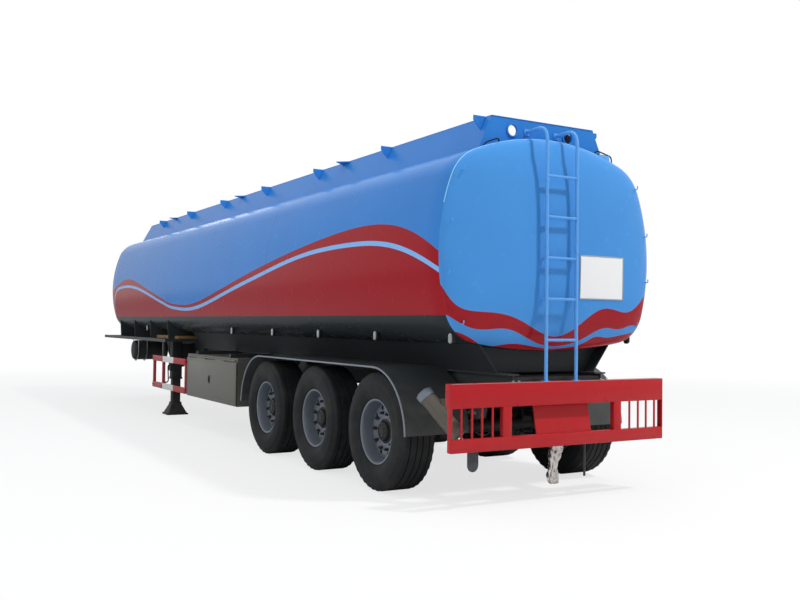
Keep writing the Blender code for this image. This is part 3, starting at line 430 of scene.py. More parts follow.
class Signal:
    """A socket of a material, on which Python's operators build Math nodes."""

    def __init__(self, graph: "Graph", socket: bpy.types.NodeSocket) -> None:
        """Keep the graph and the socket."""
        self.graph = graph
        self.socket = socket

    def math(self, operation: str, *values: "Signal | float") -> "Signal":
        """Return a Math node's result on these values."""
        node = self.graph.node("ShaderNodeMath", {"operation": operation},
                               dict(enumerate(values or (self,))))
        return Signal(self.graph, node.outputs[0])

    def __add__(self, other: "Signal | float") -> "Signal":
        """Return the sum."""
        return self.math("ADD", self, other)

    __radd__ = __add__

    def __sub__(self, other: "Signal | float") -> "Signal":
        """Return the difference."""
        return self.math("SUBTRACT", self, other)

    def __rsub__(self, other: "Signal | float") -> "Signal":
        """Return the difference the other way round."""
        return self.math("SUBTRACT", other, self)

    def __mul__(self, other: "Signal | float") -> "Signal":
        """Return the product."""
        return self.math("MULTIPLY", self, other)

    __rmul__ = __mul__

    def __truediv__(self, other: "Signal | float") -> "Signal":
        """Return the quotient."""
        return self.math("DIVIDE", self, other)

    def __neg__(self) -> "Signal":
        """Return the negative."""
        return self.math("MULTIPLY", self, -1.0)

    def __abs__(self) -> "Signal":
        """Return the absolute value."""
        return self.math("ABSOLUTE", self)

    def step(self, edge: "Signal | float", soft: float = 0.002) -> "Signal":
        """Return 1 above an edge and 0 below it, with a soft change over its width."""
        return ((self - edge) / soft + 0.5).math_min(1.0).math_max(0.0)

    def math_max(self, other: "Signal | float") -> "Signal":
        """Return the larger value."""
        return self.math("MAXIMUM", self, other)

    def math_min(self, other: "Signal | float") -> "Signal":
        """Return the smaller value."""
        return self.math("MINIMUM", self, other)

    def bell(self, height: float, centre: float, width: float) -> "Signal":
        """Return height * exp(-((value - centre) / width)^2)."""
        away = (self - centre) / width
        return self.math("EXPONENT", -(away * away)) * height


class Graph:
    """The node tree of a material or a world, and short ways to add what feeds its shader."""

    def __init__(self, owner: bpy.types.ID) -> None:
        """Take the owner's tree with the one shader that it starts with."""
        owner.use_nodes = True
        self.owner = owner
        self.tree = owner.node_tree
        self.output = next(n for n in self.tree.nodes if n.type.startswith("OUTPUT"))
        self.shader = self.output.inputs["Surface"].links[0].from_node

    @cached_property
    def place(self) -> bpy.types.NodeSocket:
        """Return the shaded point in the object's own space."""
        return self.node("ShaderNodeTexCoord").outputs["Object"]

    def node(self, kind: str, settings: dict | None = None,
             sockets: dict | None = None) -> bpy.types.Node:
        """Add a node.

        Args:
            kind: the node's type.
            settings: its properties, set first.
            sockets: a value, a socket or a Signal for each input, by name or index.
        Returns:
            The node.
        """
        made = self.tree.nodes.new(kind)
        for key, value in (settings or {}).items():
            setattr(made, key, value)
        for key, value in (sockets or {}).items():
            self.feed(made.inputs[key], value)
        return made

    def feed(self, socket: bpy.types.NodeSocket, value: object) -> None:
        """Link a socket or Signal to an input, or set its value."""
        if isinstance(value, Signal):
            value = value.socket
        if isinstance(value, bpy.types.NodeSocket):
            self.tree.links.new(value, socket)
        elif isinstance(value, tuple) and socket.type == "RGBA":
            socket.default_value = (*value[:3], 1.0)
        else:
            socket.default_value = value

    def axes(self) -> tuple:
        """Return x, y and z of the shaded point."""
        node = self.node("ShaderNodeSeparateXYZ", None, {0: self.place})
        return tuple(Signal(self, node.outputs[i]) for i in range(3))

    def noise(self, scale: float, stretch: tuple = (1, 1, 1), detail: float = 3.0) -> Signal:
        """Return a cloudy value about 0.5.

        Args:
            scale: how many features a metre.
            stretch: factors on x, y and z before the pattern is read.
            detail: number of finer layers.
        Returns:
            The value.
        """
        place = self.node("ShaderNodeMapping", None,
                          {"Vector": self.place, "Scale": tuple(float(s) for s in stretch)})
        node = self.node("ShaderNodeTexNoise", None,
                         {"Vector": place.outputs[0], "Scale": scale, "Detail": detail})
        return Signal(self, node.outputs[0])

    def mix(self, factor: "Signal | float", first: object, second: object) -> bpy.types.NodeSocket:
        """Return a colour between two, by a factor."""
        node = self.node("ShaderNodeMix", {"data_type": "RGBA"})
        self.feed(node.inputs[0], factor)
        self.feed(node.inputs[6], first)
        self.feed(node.inputs[7], second)
        return node.outputs[2]

    def bump(self, height: Signal, reach: float) -> None:
        """Raise the surface by a height value times a reach in metres."""
        node = self.node("ShaderNodeBump", None,
                         {"Height": height, "Distance": reach, "Strength": 1.0})
        self.feed(self.shader.inputs["Normal"], node.outputs[0])

    def dress(self, **sockets: object) -> None:
        """Feed the shader's inputs, named with underscores."""
        for key, value in sockets.items():
            self.feed(self.shader.inputs[key.replace("_", " ")], value)

    def ray(self, kind: str) -> Signal:
        """Return 1 for rays of a kind, such as those that the camera sends, and 0 for others."""
        return Signal(self, self.node("ShaderNodeLightPath").outputs[f"Is {kind} Ray"])

    def blend(self, factor: Signal, other: bpy.types.Node) -> None:
        """Show another shader in place of the first one, by a factor."""
        mix = self.node("ShaderNodeMixShader", None,
                        {0: factor, 1: self.shader.outputs[0], 2: other.outputs[0]})
        self.feed(self.output.inputs["Surface"], mix.outputs[0])


DUST = tint("8f877a")


@dataclass(frozen=True)
class Finish:
    """What a piece is painted with or made of."""

    name: str
    colour: str

    def material(self) -> bpy.types.Material:
        """Return the material, made once."""
        known = bpy.data.materials.get(self.name)
        if known is None:
            known = bpy.data.materials.new(self.name)
            self.fill(Graph(known))
        return known

    def fill(self, graph: Graph) -> None:
        """Feed the material's shader."""
        raise NotImplementedError


@dataclass(frozen=True)
class Enamel(Finish):
    """Sprayed paint with faint clouding, orange peel, and road dust that fades with height."""

    roughness: float = 0.30
    coat: float = 0.10
    cloud: float = 0.10
    dust: float = 0.15
    dust_top: float = 1.2
    metallic: float = 0.0
    specular: float = 0.22

    def base(self, graph: Graph) -> object:
        """Return the paint's clean colour."""
        colour = tint(self.colour)
        return graph.mix(graph.noise(1.7), scaled(colour, 1 - 1.6 * self.cloud),
                         scaled(colour, 1 + self.cloud))

    def fill(self, graph: Graph) -> None:
        """Feed the material's shader."""
        _, _, z = graph.axes()
        speck = graph.noise(9.0, detail=5.0)
        low = 1.0 - (z / self.dust_top).math_min(1.0).math_max(0.0)
        dirt = (low * speck * (2.2 * self.dust) + self.dust * 0.15 * speck).math_min(1.0)
        base = graph.mix(dirt, self.base(graph), DUST)
        rough = (self.roughness + dirt * 0.5 + (speck - 0.5) * 0.08).math_min(1.0)
        graph.bump(graph.noise(60.0, detail=1.0), 0.00008)
        graph.dress(Base_Color=base, Roughness=rough, Metallic=self.metallic,
                    Specular_IOR_Level=self.specular, Coat_Weight=self.coat, Coat_Roughness=0.06)


def ridge(value: Signal, level: float, bells: tuple) -> Signal:
    """Return a wavy edge's height: a level plus bell curves of (height, centre, width)."""
    total = level
    for height, centre, width in bells:
        total = value.bell(height, centre, width) + total
    return total


WAVE_TOP = (2.6496, ((-1.2662, 7.5, 1.5111), (0.739, -4.3808, 1.8059), (0.1546, -2.3426, 1.1419),
                     (-1.1463, -3.6298, 6.0), (-0.0275, -1.9353, 0.4232)))
WAVE_LINE = (1.1518, ((1.5444, -1.6194, 6.0), (-0.9881, -1.2337, 2.7479), (0.3499, 3.7126, 1.5407),
                      (0.5161, 5.4523, 1.3901), (-1.6, -5.935, 0.35)))
HEAD_UPPER_TOP = (1.9774, ((-0.4753, -0.0567, 0.5029), (-0.2893, -0.8666, 0.3223),
                           (-0.3391, 0.9508, 0.8186), (0.8789, 1.4414, 0.2285)))
HEAD_UPPER_LOW = (1.3211, ((0.504, 1.5604, 0.58), (0.1378, 0.5347, 0.3016),
                           (-0.1546, -0.7588, 0.2042), (0.324, -0.7834, 0.3926)))
HEAD_LOWER_TOP = (1.4898, ((-0.1767, -0.0225, 0.7184), (-0.0896, 0.7142, 0.2099),
                           (0.0475, -0.4668, 0.12)))


@dataclass(frozen=True)
class SideLivery(Enamel):
    """The barrel's paint: blue over a red wave with a pale line, a dark belly, and painted shade
    lines at two weld seams.
    """

    red: str = "991822"
    line: str = "7db3ec"
    belly: str = "2a2f31"
    belly_top: float = 1.592
    line_width: float = 0.045
    seam_shade_lines: tuple = (-2.71, 2.2)

    def base(self, graph: Graph) -> object:
        """Return the paint's colour by its place along and up the barrel."""
        _, y, z = graph.axes()
        top = ridge(y, *WAVE_TOP)
        line = ridge(y, *WAVE_LINE).math_min(top - 0.06)
        blue = super().base(graph)
        colour = graph.mix(1.0 - z.step(top), blue, tint(self.red))
        stripe = 1.0 - abs(z - line).step(self.line_width / 2)
        colour = graph.mix(stripe, colour, tint(self.line))
        colour = graph.mix(1.0 - z.step(self.belly_top), colour, tint(self.belly))
        # Painted shade: the weld seams are real, and the dark 6 mm band at each stands in for the
        # shade of the seam's bead.
        first, second = (1.0 - abs(y - seam).step(0.006, 0.006) for seam in self.seam_shade_lines)
        return graph.mix((first + second) * 0.35, colour, tint("16202c"))


@dataclass(frozen=True)
class HeadLivery(Enamel):
    """A head's paint: blue with two red waves parted by a blue band."""

    red: str = "98141f"

    def base(self, graph: Graph) -> object:
        """Return the paint's colour by its place across and up the head."""
        x, _, z = graph.axes()
        upper = (1.0 - z.step(ridge(x, *HEAD_UPPER_TOP))) * z.step(ridge(x, *HEAD_UPPER_LOW))
        lower = 1.0 - z.step(ridge(x, *HEAD_LOWER_TOP))
        return graph.mix(upper.math_max(lower), super().base(graph), tint(self.red))


@dataclass(frozen=True)
class GuardPaint(Enamel):
    """Red guard paint with one white third between two levels, and dark hangers above the bars."""

    white_from: float = -2.062
    white_to: float = -1.48
    hanger_from: float = 0.968

    def base(self, graph: Graph) -> object:
        """Return red, white between the two levels, or the hangers' dark paint."""
        _, y, z = graph.axes()
        white = y.step(self.white_from) * (1.0 - y.step(self.white_to))
        bars = graph.mix(white, super().base(graph), tint("d9d9d6"))
        return graph.mix(z.step(self.hanger_from), bars, tint("24282b"))


@dataclass(frozen=True)
class Brushed(Finish):
    """Bare metal with fine streaks along one axis."""

    stretch: tuple = (1.0, 0.04, 1.0)
    roughness: float = 0.38
    metallic: float = 0.75

    def fill(self, graph: Graph) -> None:
        """Feed the material's shader."""
        streak = graph.noise(120.0, self.stretch, 2.0)
        cloud = graph.noise(3.0)
        colour = tint(self.colour)
        base = graph.mix(streak * 0.5 + cloud * 0.5, scaled(colour, 0.72), scaled(colour, 1.25))
        rough = (cloud * 0.22 + (self.roughness - 0.1) + streak * 0.1).math_min(1.0)
        graph.bump(streak, 0.0003)
        graph.dress(Base_Color=base, Roughness=rough, Metallic=self.metallic)


@dataclass(frozen=True)
class Rubber(Finish):
    """Tyre rubber: near black, dusty on the sidewall, with a fine moulded grain."""

    dusty: str = "55524c"
    roughness: float = 0.72

    def fill(self, graph: Graph) -> None:
        """Feed the material's shader."""
        cloud = graph.noise(6.0, detail=5.0)
        fine = graph.noise(60.0)
        dirt = (cloud - 0.42).math_max(0.0) * 0.9
        base = graph.mix(dirt, tint(self.colour), tint(self.dusty))
        graph.bump(fine, 0.0008)
        graph.dress(Base_Color=base, Roughness=(self.roughness + (fine - 0.5) * 0.2),
                    Specular_IOR_Level=0.2)


@dataclass(frozen=True)
class Crumpled(Finish):
    """Wrinkled metal foil, shiny with sharp folds, with painted shade that darkens it towards each
    fold's hollow.
    """

    def fill(self, graph: Graph) -> None:
        """Feed the material's shader."""
        fold = graph.node("ShaderNodeTexVoronoi", None, {"Vector": graph.place, "Scale": 15.0})
        crease = Signal(graph, fold.outputs["Distance"])
        # Painted shade: the foil's colour is darker near each fold's hollow, standing in for shade
        # in the creases.
        painted_fold_shade = graph.mix(crease, tint("a29d98"), tint(self.colour))
        graph.bump(crease, 0.018)
        graph.dress(Base_Color=painted_fold_shade, Roughness=crease * 0.2 + 0.16, Metallic=0.9)


@dataclass(frozen=True)
class Lens(Finish):
    """Clear moulded plastic over a pale reflector, with fine ribs."""

    def fill(self, graph: Graph) -> None:
        """Feed the material's shader."""
        _, y, z = graph.axes()
        rib = ((y + z) * 900.0).math("SINE")
        colour = tint(self.colour)
        base = graph.mix(rib * 0.5 + 0.5, scaled(colour, 0.75), colour)
        graph.bump(rib, 0.0004)
        graph.dress(Base_Color=base, Roughness=graph.noise(30.0) * 0.1 + 0.08, Coat_Weight=1.0)


BLUE = SideLivery("tank side paint", "3a7fca", 0.26, 0.03, 0.04, 0.02, specular=0.06)
HEAD_BLUE = HeadLivery("tank head paint", "458dd3", 0.26, 0.08, 0.04, 0.02, specular=0.12)
TOP_BLUE = Enamel("trough paint", "2f7ccb", 0.34, 0.06, 0.06, 0.05, specular=0.12)
STEP_BLUE = Enamel("ladder paint", "5a9de0", 0.28, 0.15, 0.05, 0.06)
# Pale blue of the painted highlight along the rear head's upper rim.
CROWN_HIGHLIGHT_BLUE = Enamel("crown edge paint", "8fd2f4", 0.24, 0.2, 0.03, 0.02)
BUMPER_RED = Enamel("bumper paint", "b01a22", 0.28, 0.06, 0.06, 0.06, specular=0.12)
GUARD_RED = GuardPaint("guard paint", "a82832", 0.38, 0.05, 0.08, 0.18, specular=0.12)
CHASSIS = Enamel("chassis paint", "2b3033", 0.48, 0.05, 0.16, 0.12)
DEEP = Enamel("running gear paint", "1a1d1f", 0.58, 0.0, 0.2, 0.08)
FENDER = Enamel("mudguard paint", "33393c", 0.40, 0.10, 0.10, 0.20)
# Pale grey of the painted highlights on the mudguards' rolled lips and the bumper's upper edge.
PALE_EDGE_HIGHLIGHT = Enamel("mudguard lip", "7d858c", 0.40, 0.1, 0.08, 0.20)
SILVER = Enamel("wheel paint", "69717d", 0.36, 0.10, 0.12, 0.12, 1.2, 0.35)
HUB_BLACK = Enamel("hub paint", "111315", 0.40, 0.05, 0.1, 0.02)
SIGN_WHITE = Enamel("sign face", "e9e9ea", 0.35, 0.2, 0.02, 0.02)
SIGN_EDGE = Enamel("sign border", "9aa0a6", 0.4, 0.1, 0.02, 0.02)
TAN = Enamel("bearer pad", "8a6d46", 0.7, 0.0, 0.2, 0.1)
STAINLESS = Brushed("locker steel", "67665f", (1.0, 1.0, 0.05), 0.42, 0.45)
ZINC = Brushed("zinc fittings", "a7aab0", (1.0, 1.0, 1.0), 0.35, 0.8)
DULL_TUBE = Enamel("holder paint", "55514b", 0.34, 0.15, 0.12, 0.10)
TUBE_CAP = Enamel("holder cap paint", "717a84", 0.40, 0.10, 0.08, 0.10)
TYRE = Rubber("tyre rubber", "1d1f21", "45423d")
RUBBER_HOSE = Rubber("hose rubber", "1b1d1f", "3a3835", 0.6)
FLAP = Rubber("flap rubber", "45494c", "5a5752", 0.7)
FOIL = Crumpled("foil wrap", "d2cecb")
CLEAR = Lens("marker lens", "9b9ea0")


def make(name: str, shapes: list, finish: Finish, body: str = TRAILER, stands_for: tuple = (),
         crease: float = 34.0) -> bpy.types.Object:
    """Put shapes into one mesh and make it a piece of the trailer.

    Args:
        name: the piece's name.
        shapes: the surfaces that it is made of.
        finish: what it is painted with, or made of.
        body: the body that it rides on.
        stands_for: the CAD nodes that it shows in place of.
        crease: angle in degrees over which an edge stays sharp.
    Returns:
        The object, at the origin.
    """
    whole = merged(shapes)
    mesh = bpy.data.meshes.new(name)
    counts = np.concatenate([np.full(len(f), f.shape[1]) for f in whole.faces])
    corners = np.concatenate([f.ravel() for f in whole.faces]).astype(np.int32)
    mesh.vertices.add(len(whole.points))
    mesh.vertices.foreach_set("co", whole.points.astype(np.float32).ravel())
    mesh.loops.add(len(corners))
    mesh.loops.foreach_set("vertex_index", corners)
    mesh.polygons.add(len(counts))
    starts = np.concatenate([[0], np.cumsum(counts)[:-1]]).astype(np.int32)
    mesh.polygons.foreach_set("loop_start", starts)
    mesh.update(calc_edges=True)
    work = bmesh.new()
    work.from_mesh(mesh)
    bmesh.ops.remove_doubles(work, verts=work.verts, dist=1e-6)
    bmesh.ops.dissolve_degenerate(work, edges=work.edges, dist=1e-7)
    work.to_mesh(mesh)
    work.free()
    mesh.validate()
    mesh.shade_smooth()
    mesh.set_sharp_from_angle(angle=math.radians(crease))
    mesh.materials.append(finish.material())
    obj = bpy.data.objects.new(name, mesh)
    bpy.context.scene.collection.objects.link(obj)
    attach(obj, body)
    if stands_for:
        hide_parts(*stands_for)
    LOG.info("%s: %d faces on %s", name, len(mesh.polygons), body)
    return obj


def paint_node(node: str, finish: Finish) -> None:
    """Give a CAD node that stays its finish."""
    mesh = frame["nodes"][node].data
    mesh.materials.clear()
    mesh.materials.append(finish.material())
    LOG.info("%s: CAD node painted", node)


@dataclass
class TankSection:
    """The tank's cross-section: crown, belly and flank arcs joined by corner arcs."""

    width: float = 2.36
    top: float = 3.16
    bottom: float = 1.29
    crown: float = 2.2
    belly: float = 5.0
    flank: float = 1.8
    flank_z: float = 2.11
    upper: tuple = (0.66595, 2.61073, 0.42)
    lower: tuple = (0.76430, 1.71338, 0.36)
    turns: tuple = (90.0, 68.03, 21.28, -15.99, -80.52, -90.0)

    def outline(self, grow: float = 0.0, steps: int = 14) -> Array:
        """Return the closed outline as (x, z) rows, clockwise from the crown.

        Each arc is centre + (radius + grow) * (cos, sin) between its two angles.

        Args:
            grow: how far outside the tank's own outline it runs.
            steps: points on each arc.
        Returns:
            The points of the right half and then of the mirrored half.
        """
        arcs = np.array([[0.0, self.top - self.crown, self.crown], self.upper,
                         [self.width / 2 - self.flank, self.flank_z, self.flank], self.lower,
                         [0.0, self.bottom + self.belly, self.belly]])
        turns = np.radians(self.turns)
        t = np.linspace(0, 1, steps, endpoint=False)[None]
        angle = turns[:-1, None] + (turns[1:] - turns[:-1])[:, None] * t
        reach = arcs[:, 2:] + grow
        half = np.stack([arcs[:, :1] + reach * np.cos(angle),
                         arcs[:, 1:2] + reach * np.sin(angle)], -1).reshape(-1, 2)
        half = np.concatenate([half, [[0.0, self.bottom - grow]]])
        return np.concatenate([half, half[1:-1][::-1] * (-1, 1)])

    def ring(self, y: float, grow: float = 0.0, steps: int = 14) -> Array:
        """Return the outline at a station along the trailer, as points."""
        flat = self.outline(grow, steps)
        return np.stack([flat[:, 0], np.full(len(flat), y), flat[:, 1]], -1)


SECTION = TankSection()


@dataclass
class Tank:
    """The barrel with its manhole necks and hinge lugs, and its two dished heads."""

    dish: float = 0.14
    inset: float = 0.004
    neck: float = 0.25
    neck_top: float = 3.235

    def head_y(self, x: Array, z: Array) -> Array:
        """Return how far a head bulges at (x, z): dish * sqrt(1 - scale^3).

        Scale is the point's distance from the middle over the outline's in that direction.
        """
        flat = SECTION.outline(-self.inset, 30)
        angle = np.arctan2(flat[:, 1] - TANK_MID_Z, flat[:, 0])
        reach = np.hypot(flat[:, 0], flat[:, 1] - TANK_MID_Z)
        order = np.argsort(angle)
        seen = np.arctan2(np.asarray(z) - TANK_MID_Z, np.asarray(x))
        full = np.interp(seen, angle[order], reach[order], period=2 * np.pi)
        scale = np.clip(np.hypot(x, np.asarray(z) - TANK_MID_Z) / full, 0, 1)
        return self.dish * np.sqrt(1 - scale ** 3)

    def rear_y(self, x: Array, z: Array) -> Array:
        """Return y of the rear head's face at (x, z)."""
        return TANK_REAR + self.head_y(x, z)

    def barrel(self) -> list:
        """Return the barrel's surfaces: the shell, and the necks with their hinge lugs."""
        inner = np.linspace(TANK_FRONT + 0.01, TANK_REAR - 0.01, 60)
        stations = np.concatenate([[TANK_FRONT], inner, [TANK_REAR]])
        grow = np.zeros(len(stations))
        grow[[0, -1]] = -self.inset
        shell = np.stack([SECTION.ring(y, g) for y, g in zip(stations, grow)])
        shapes = [outward(skin(shell, False, True, True))]
        neck = [(self.neck - 0.002, -0.07), (self.neck, -0.005), (self.neck, 0.045),
                (self.neck + 0.014, 0.05), (self.neck + 0.014, 0.068), (self.neck - 0.01, 0.0715)]
        places = [(0, y, 0) for y in MANHOLES.values()]
        shapes.append(revolved(neck, (0, 0, self.neck_top - 0.0725), Axis.Z, 48).repeated(places))
        lug = [(0.23, 3.10), (0.319, 3.15), (0.319, 3.262), (0.311, 3.267), (0.285, 3.265),
               (0.282, 3.233), (0.23, 3.233)]
        shapes += [plate(lug, 0.022, Plane.YZ, x).repeated(places) for x in (-0.06, 0.06)]
        return shapes

    def head(self, base: float, facing: int) -> Shape:
        """Return a dished head: rings of the outline that shrink and rise by the dome's curve."""
        scale = 1 - np.linspace(0, 0.985, 44) ** 1.9
        flat = SECTION.outline(-self.inset)
        rise = self.dish * np.sqrt(1 - scale ** 3)
        x = scale[:, None] * flat[None, :, 0]
        z = TANK_MID_Z + scale[:, None] * (flat[None, :, 1] - TANK_MID_Z)
        y = np.broadcast_to((base + facing * (0.0005 + rise))[:, None], x.shape)
        return outward(skin(np.stack([x, y, z], -1), False, True, True))

    def build(self) -> None:
        """Make the barrel, both heads and a painted highlight: a pale line on the rear head's upper
        edge.
        """
        make("barrel_shell", self.barrel(), BLUE, stands_for=("tank_barrel",))
        for end, base, facing in (("rear", TANK_REAR, 1), ("front", TANK_FRONT, -1)):
            make(f"{end}_dome", [self.head(base, facing)], HEAD_BLUE, stands_for=(f"{end}_head",))
        # Painted highlight: a thin pale-blue tube on the rear head's rim above z 2.45 stands in for
        # light glinting on the rounded edge.
        ring = SECTION.ring(TANK_REAR, -0.003)
        ring = np.roll(ring, -int(np.argmin(ring[:, 2])), 0)
        make("crown_edge", [tube(ring[ring[:, 2] > 2.45], 0.005, 8, (0, 1, 0))], CROWN_HIGHLIGHT_BLUE)


@dataclass
class Manhole:
    """A hinged manhole cover with a fill hatch, clamp bars and a vent."""

    radius: float = 0.27
    seat: float = 3.241
    hinge_reach: float = 0.305

    def build(self, number: int, y: float) -> None:
        """Make the cover of one manhole."""
        lid = [(self.radius - 0.006, 0.0), (self.radius, 0.004), (self.radius, 0.018),
               (self.radius - 0.006, 0.022), (0.20, 0.024), (0.16, 0.030), (0.10, 0.036),
               (0.02, 0.038)]
        shapes = [revolved(lid, (0, y, self.seat), Axis.Z, 48)]
        hatch = [(0.11, 0.030), (0.11, 0.044), (0.10, 0.050), (0.02, 0.053)]
        shapes.append(revolved(hatch, (0, y - 0.07, self.seat - 0.004), Axis.Z, 32))
        knob = bolt(0.011, Axis.Z).moved((0.235, 0, 0)).ringed(10, Axis.Z)
        shapes.append(knob.moved((0, y, self.seat + 0.0215)))
        bar = soft_box((-0.016, -0.17, 0.040), (0.016, 0.05, 0.056))
        arm = soft_box((-0.03, 0.23, 0.001), (0.03, 0.300, 0.021))
        pin = tube([(-0.046, self.hinge_reach, 0.011), (0.046, self.hinge_reach, 0.011)], 0.010, 12,
                   (0, 0, 1))
        shapes.append(merged([bar, arm, pin]).moved((0, y, self.seat)))
        vent = [(0.022, 0.020), (0.022, 0.045), (0.030, 0.048), (0.030, 0.060), (0.012, 0.066)]
        shapes.append(revolved(vent, (0.13, y + 0.10, self.seat), Axis.Z, 20))
        make(f"manhole_cover_{number}", shapes, TOP_BLUE, f"manhole_lid_{number}",
             (f"manhole_lid_{number}",))


@dataclass
class Trough:
    """The spill trough: leaning walls with gussets and tabs, a folded lip, drains and a plug."""

    half: float = 0.58
    front: float = -5.08
    rear: float = 5.85
    top: float = 3.339
    base: float = 2.98
    lean: float = 0.45
    wall: float = 0.012
    reach: float = 0.71
    gusset_pitch: float = 1.64
    gusset_depth: float = 0.125
    tabs: tuple = (3.09, -0.19, -3.47)
    drains: tuple = (0.358, -0.275)
    drain_z: float = 3.228
    drain_radius: float = 0.050

    def walls(self) -> Shape:
        """Return the side and front walls: a leaning sheet carried round three sides."""
        z = np.array([self.base, self.top, self.top, self.base])
        inwards = np.array([0.0, 0.0, self.wall, self.wall])
        lean = (self.top - z) * self.lean
        half = self.half + lean - inwards
        ahead = self.front - lean + inwards
        back = np.full(4, self.rear - self.wall)
        corners = [np.stack([sign * half, y, z], -1)
                   for sign, y in ((1, back), (1, ahead), (-1, ahead), (-1, back))]
        return outward(skin(np.stack(corners), False, True, True))

    def rear_half(self, drain: float) -> Shape:
        """Return the left half of the rear wall, as a grid from a drain's hole to the border."""
        across, up = square_rays()
        z = self.base + (up + 1) / 2 * (self.top - self.base)
        border = np.stack([(across + 1) / 2 * (self.half + (self.top - z) * self.lean), z], -1)
        flat = holed(border, self.drain_radius, (0.0, 0.3, 0.6, 1.0), (drain, self.drain_z))
        face = np.stack([flat[..., 0], np.full(flat.shape[:2], self.rear), flat[..., 1]], -1)
        return outward(skin(np.concatenate([face[::-1] - (0, self.wall, 0), face]), True, True))

    def stiffeners(self) -> Shape:
        """Return the left wall's gussets and the tabs between them."""
        top, root = self.top, self.half - 0.002
        gusset = plate([(root, top), (self.reach, top), (self.reach, top - 0.04),
                        (root + self.lean * self.gusset_depth, top - self.gusset_depth)],
                       self.wall, Plane.XZ)
        tab = plate([(root, -0.11), (root, 0.11), (self.reach, 0.0)], self.wall, Plane.XY,
                    top - self.wall)
        gussets = [(0, self.rear - 0.09 - self.gusset_pitch * i, 0) for i in range(7)]
        return merged([gusset.repeated(gussets), tab.repeated([(0, y, 0) for y in self.tabs])])

    def build(self) -> None:
        """Make the walls, the lip, the drains and the plug."""
        left, right = [merged([self.rear_half(abs(x)), self.stiffeners()]) for x in self.drains]
        make("trough_walls", [self.walls(), left, right.mirrored()], TOP_BLUE,
             stands_for=("coaming",))
        x, z = self.half - 0.002, self.top - 0.004
        loop = np.array([(-x, self.front, z), (x, self.front, z), (x, self.rear, z),
                         (-x, self.rear, z)])
        make("trough_lip", edged(loop, circle(0.006, 8, 0.7), (0, 0, 1)), TOP_BLUE)
        ring = [(0.052, -0.012), (0.062, -0.012), (0.064, 0.004), (0.060, 0.010), (0.050, 0.010),
                (0.047, 0.004)]
        rims = [revolved(ring, (at, self.rear + 0.002, self.drain_z), Axis.Y, 32, True)
                for at in self.drains]
        make("drain_rims", rims, TOP_BLUE)
        plug = [(0.046, -0.05), (0.046, -0.012), (0.040, -0.008), (0.012, -0.008), (0.010, 0.004),
                (0.004, 0.006)]
        closed = (self.drains[1], self.rear, self.drain_z)
        make("drain_plug", [revolved(plug, closed, Axis.Y, 28)], RUBBER_HOSE)


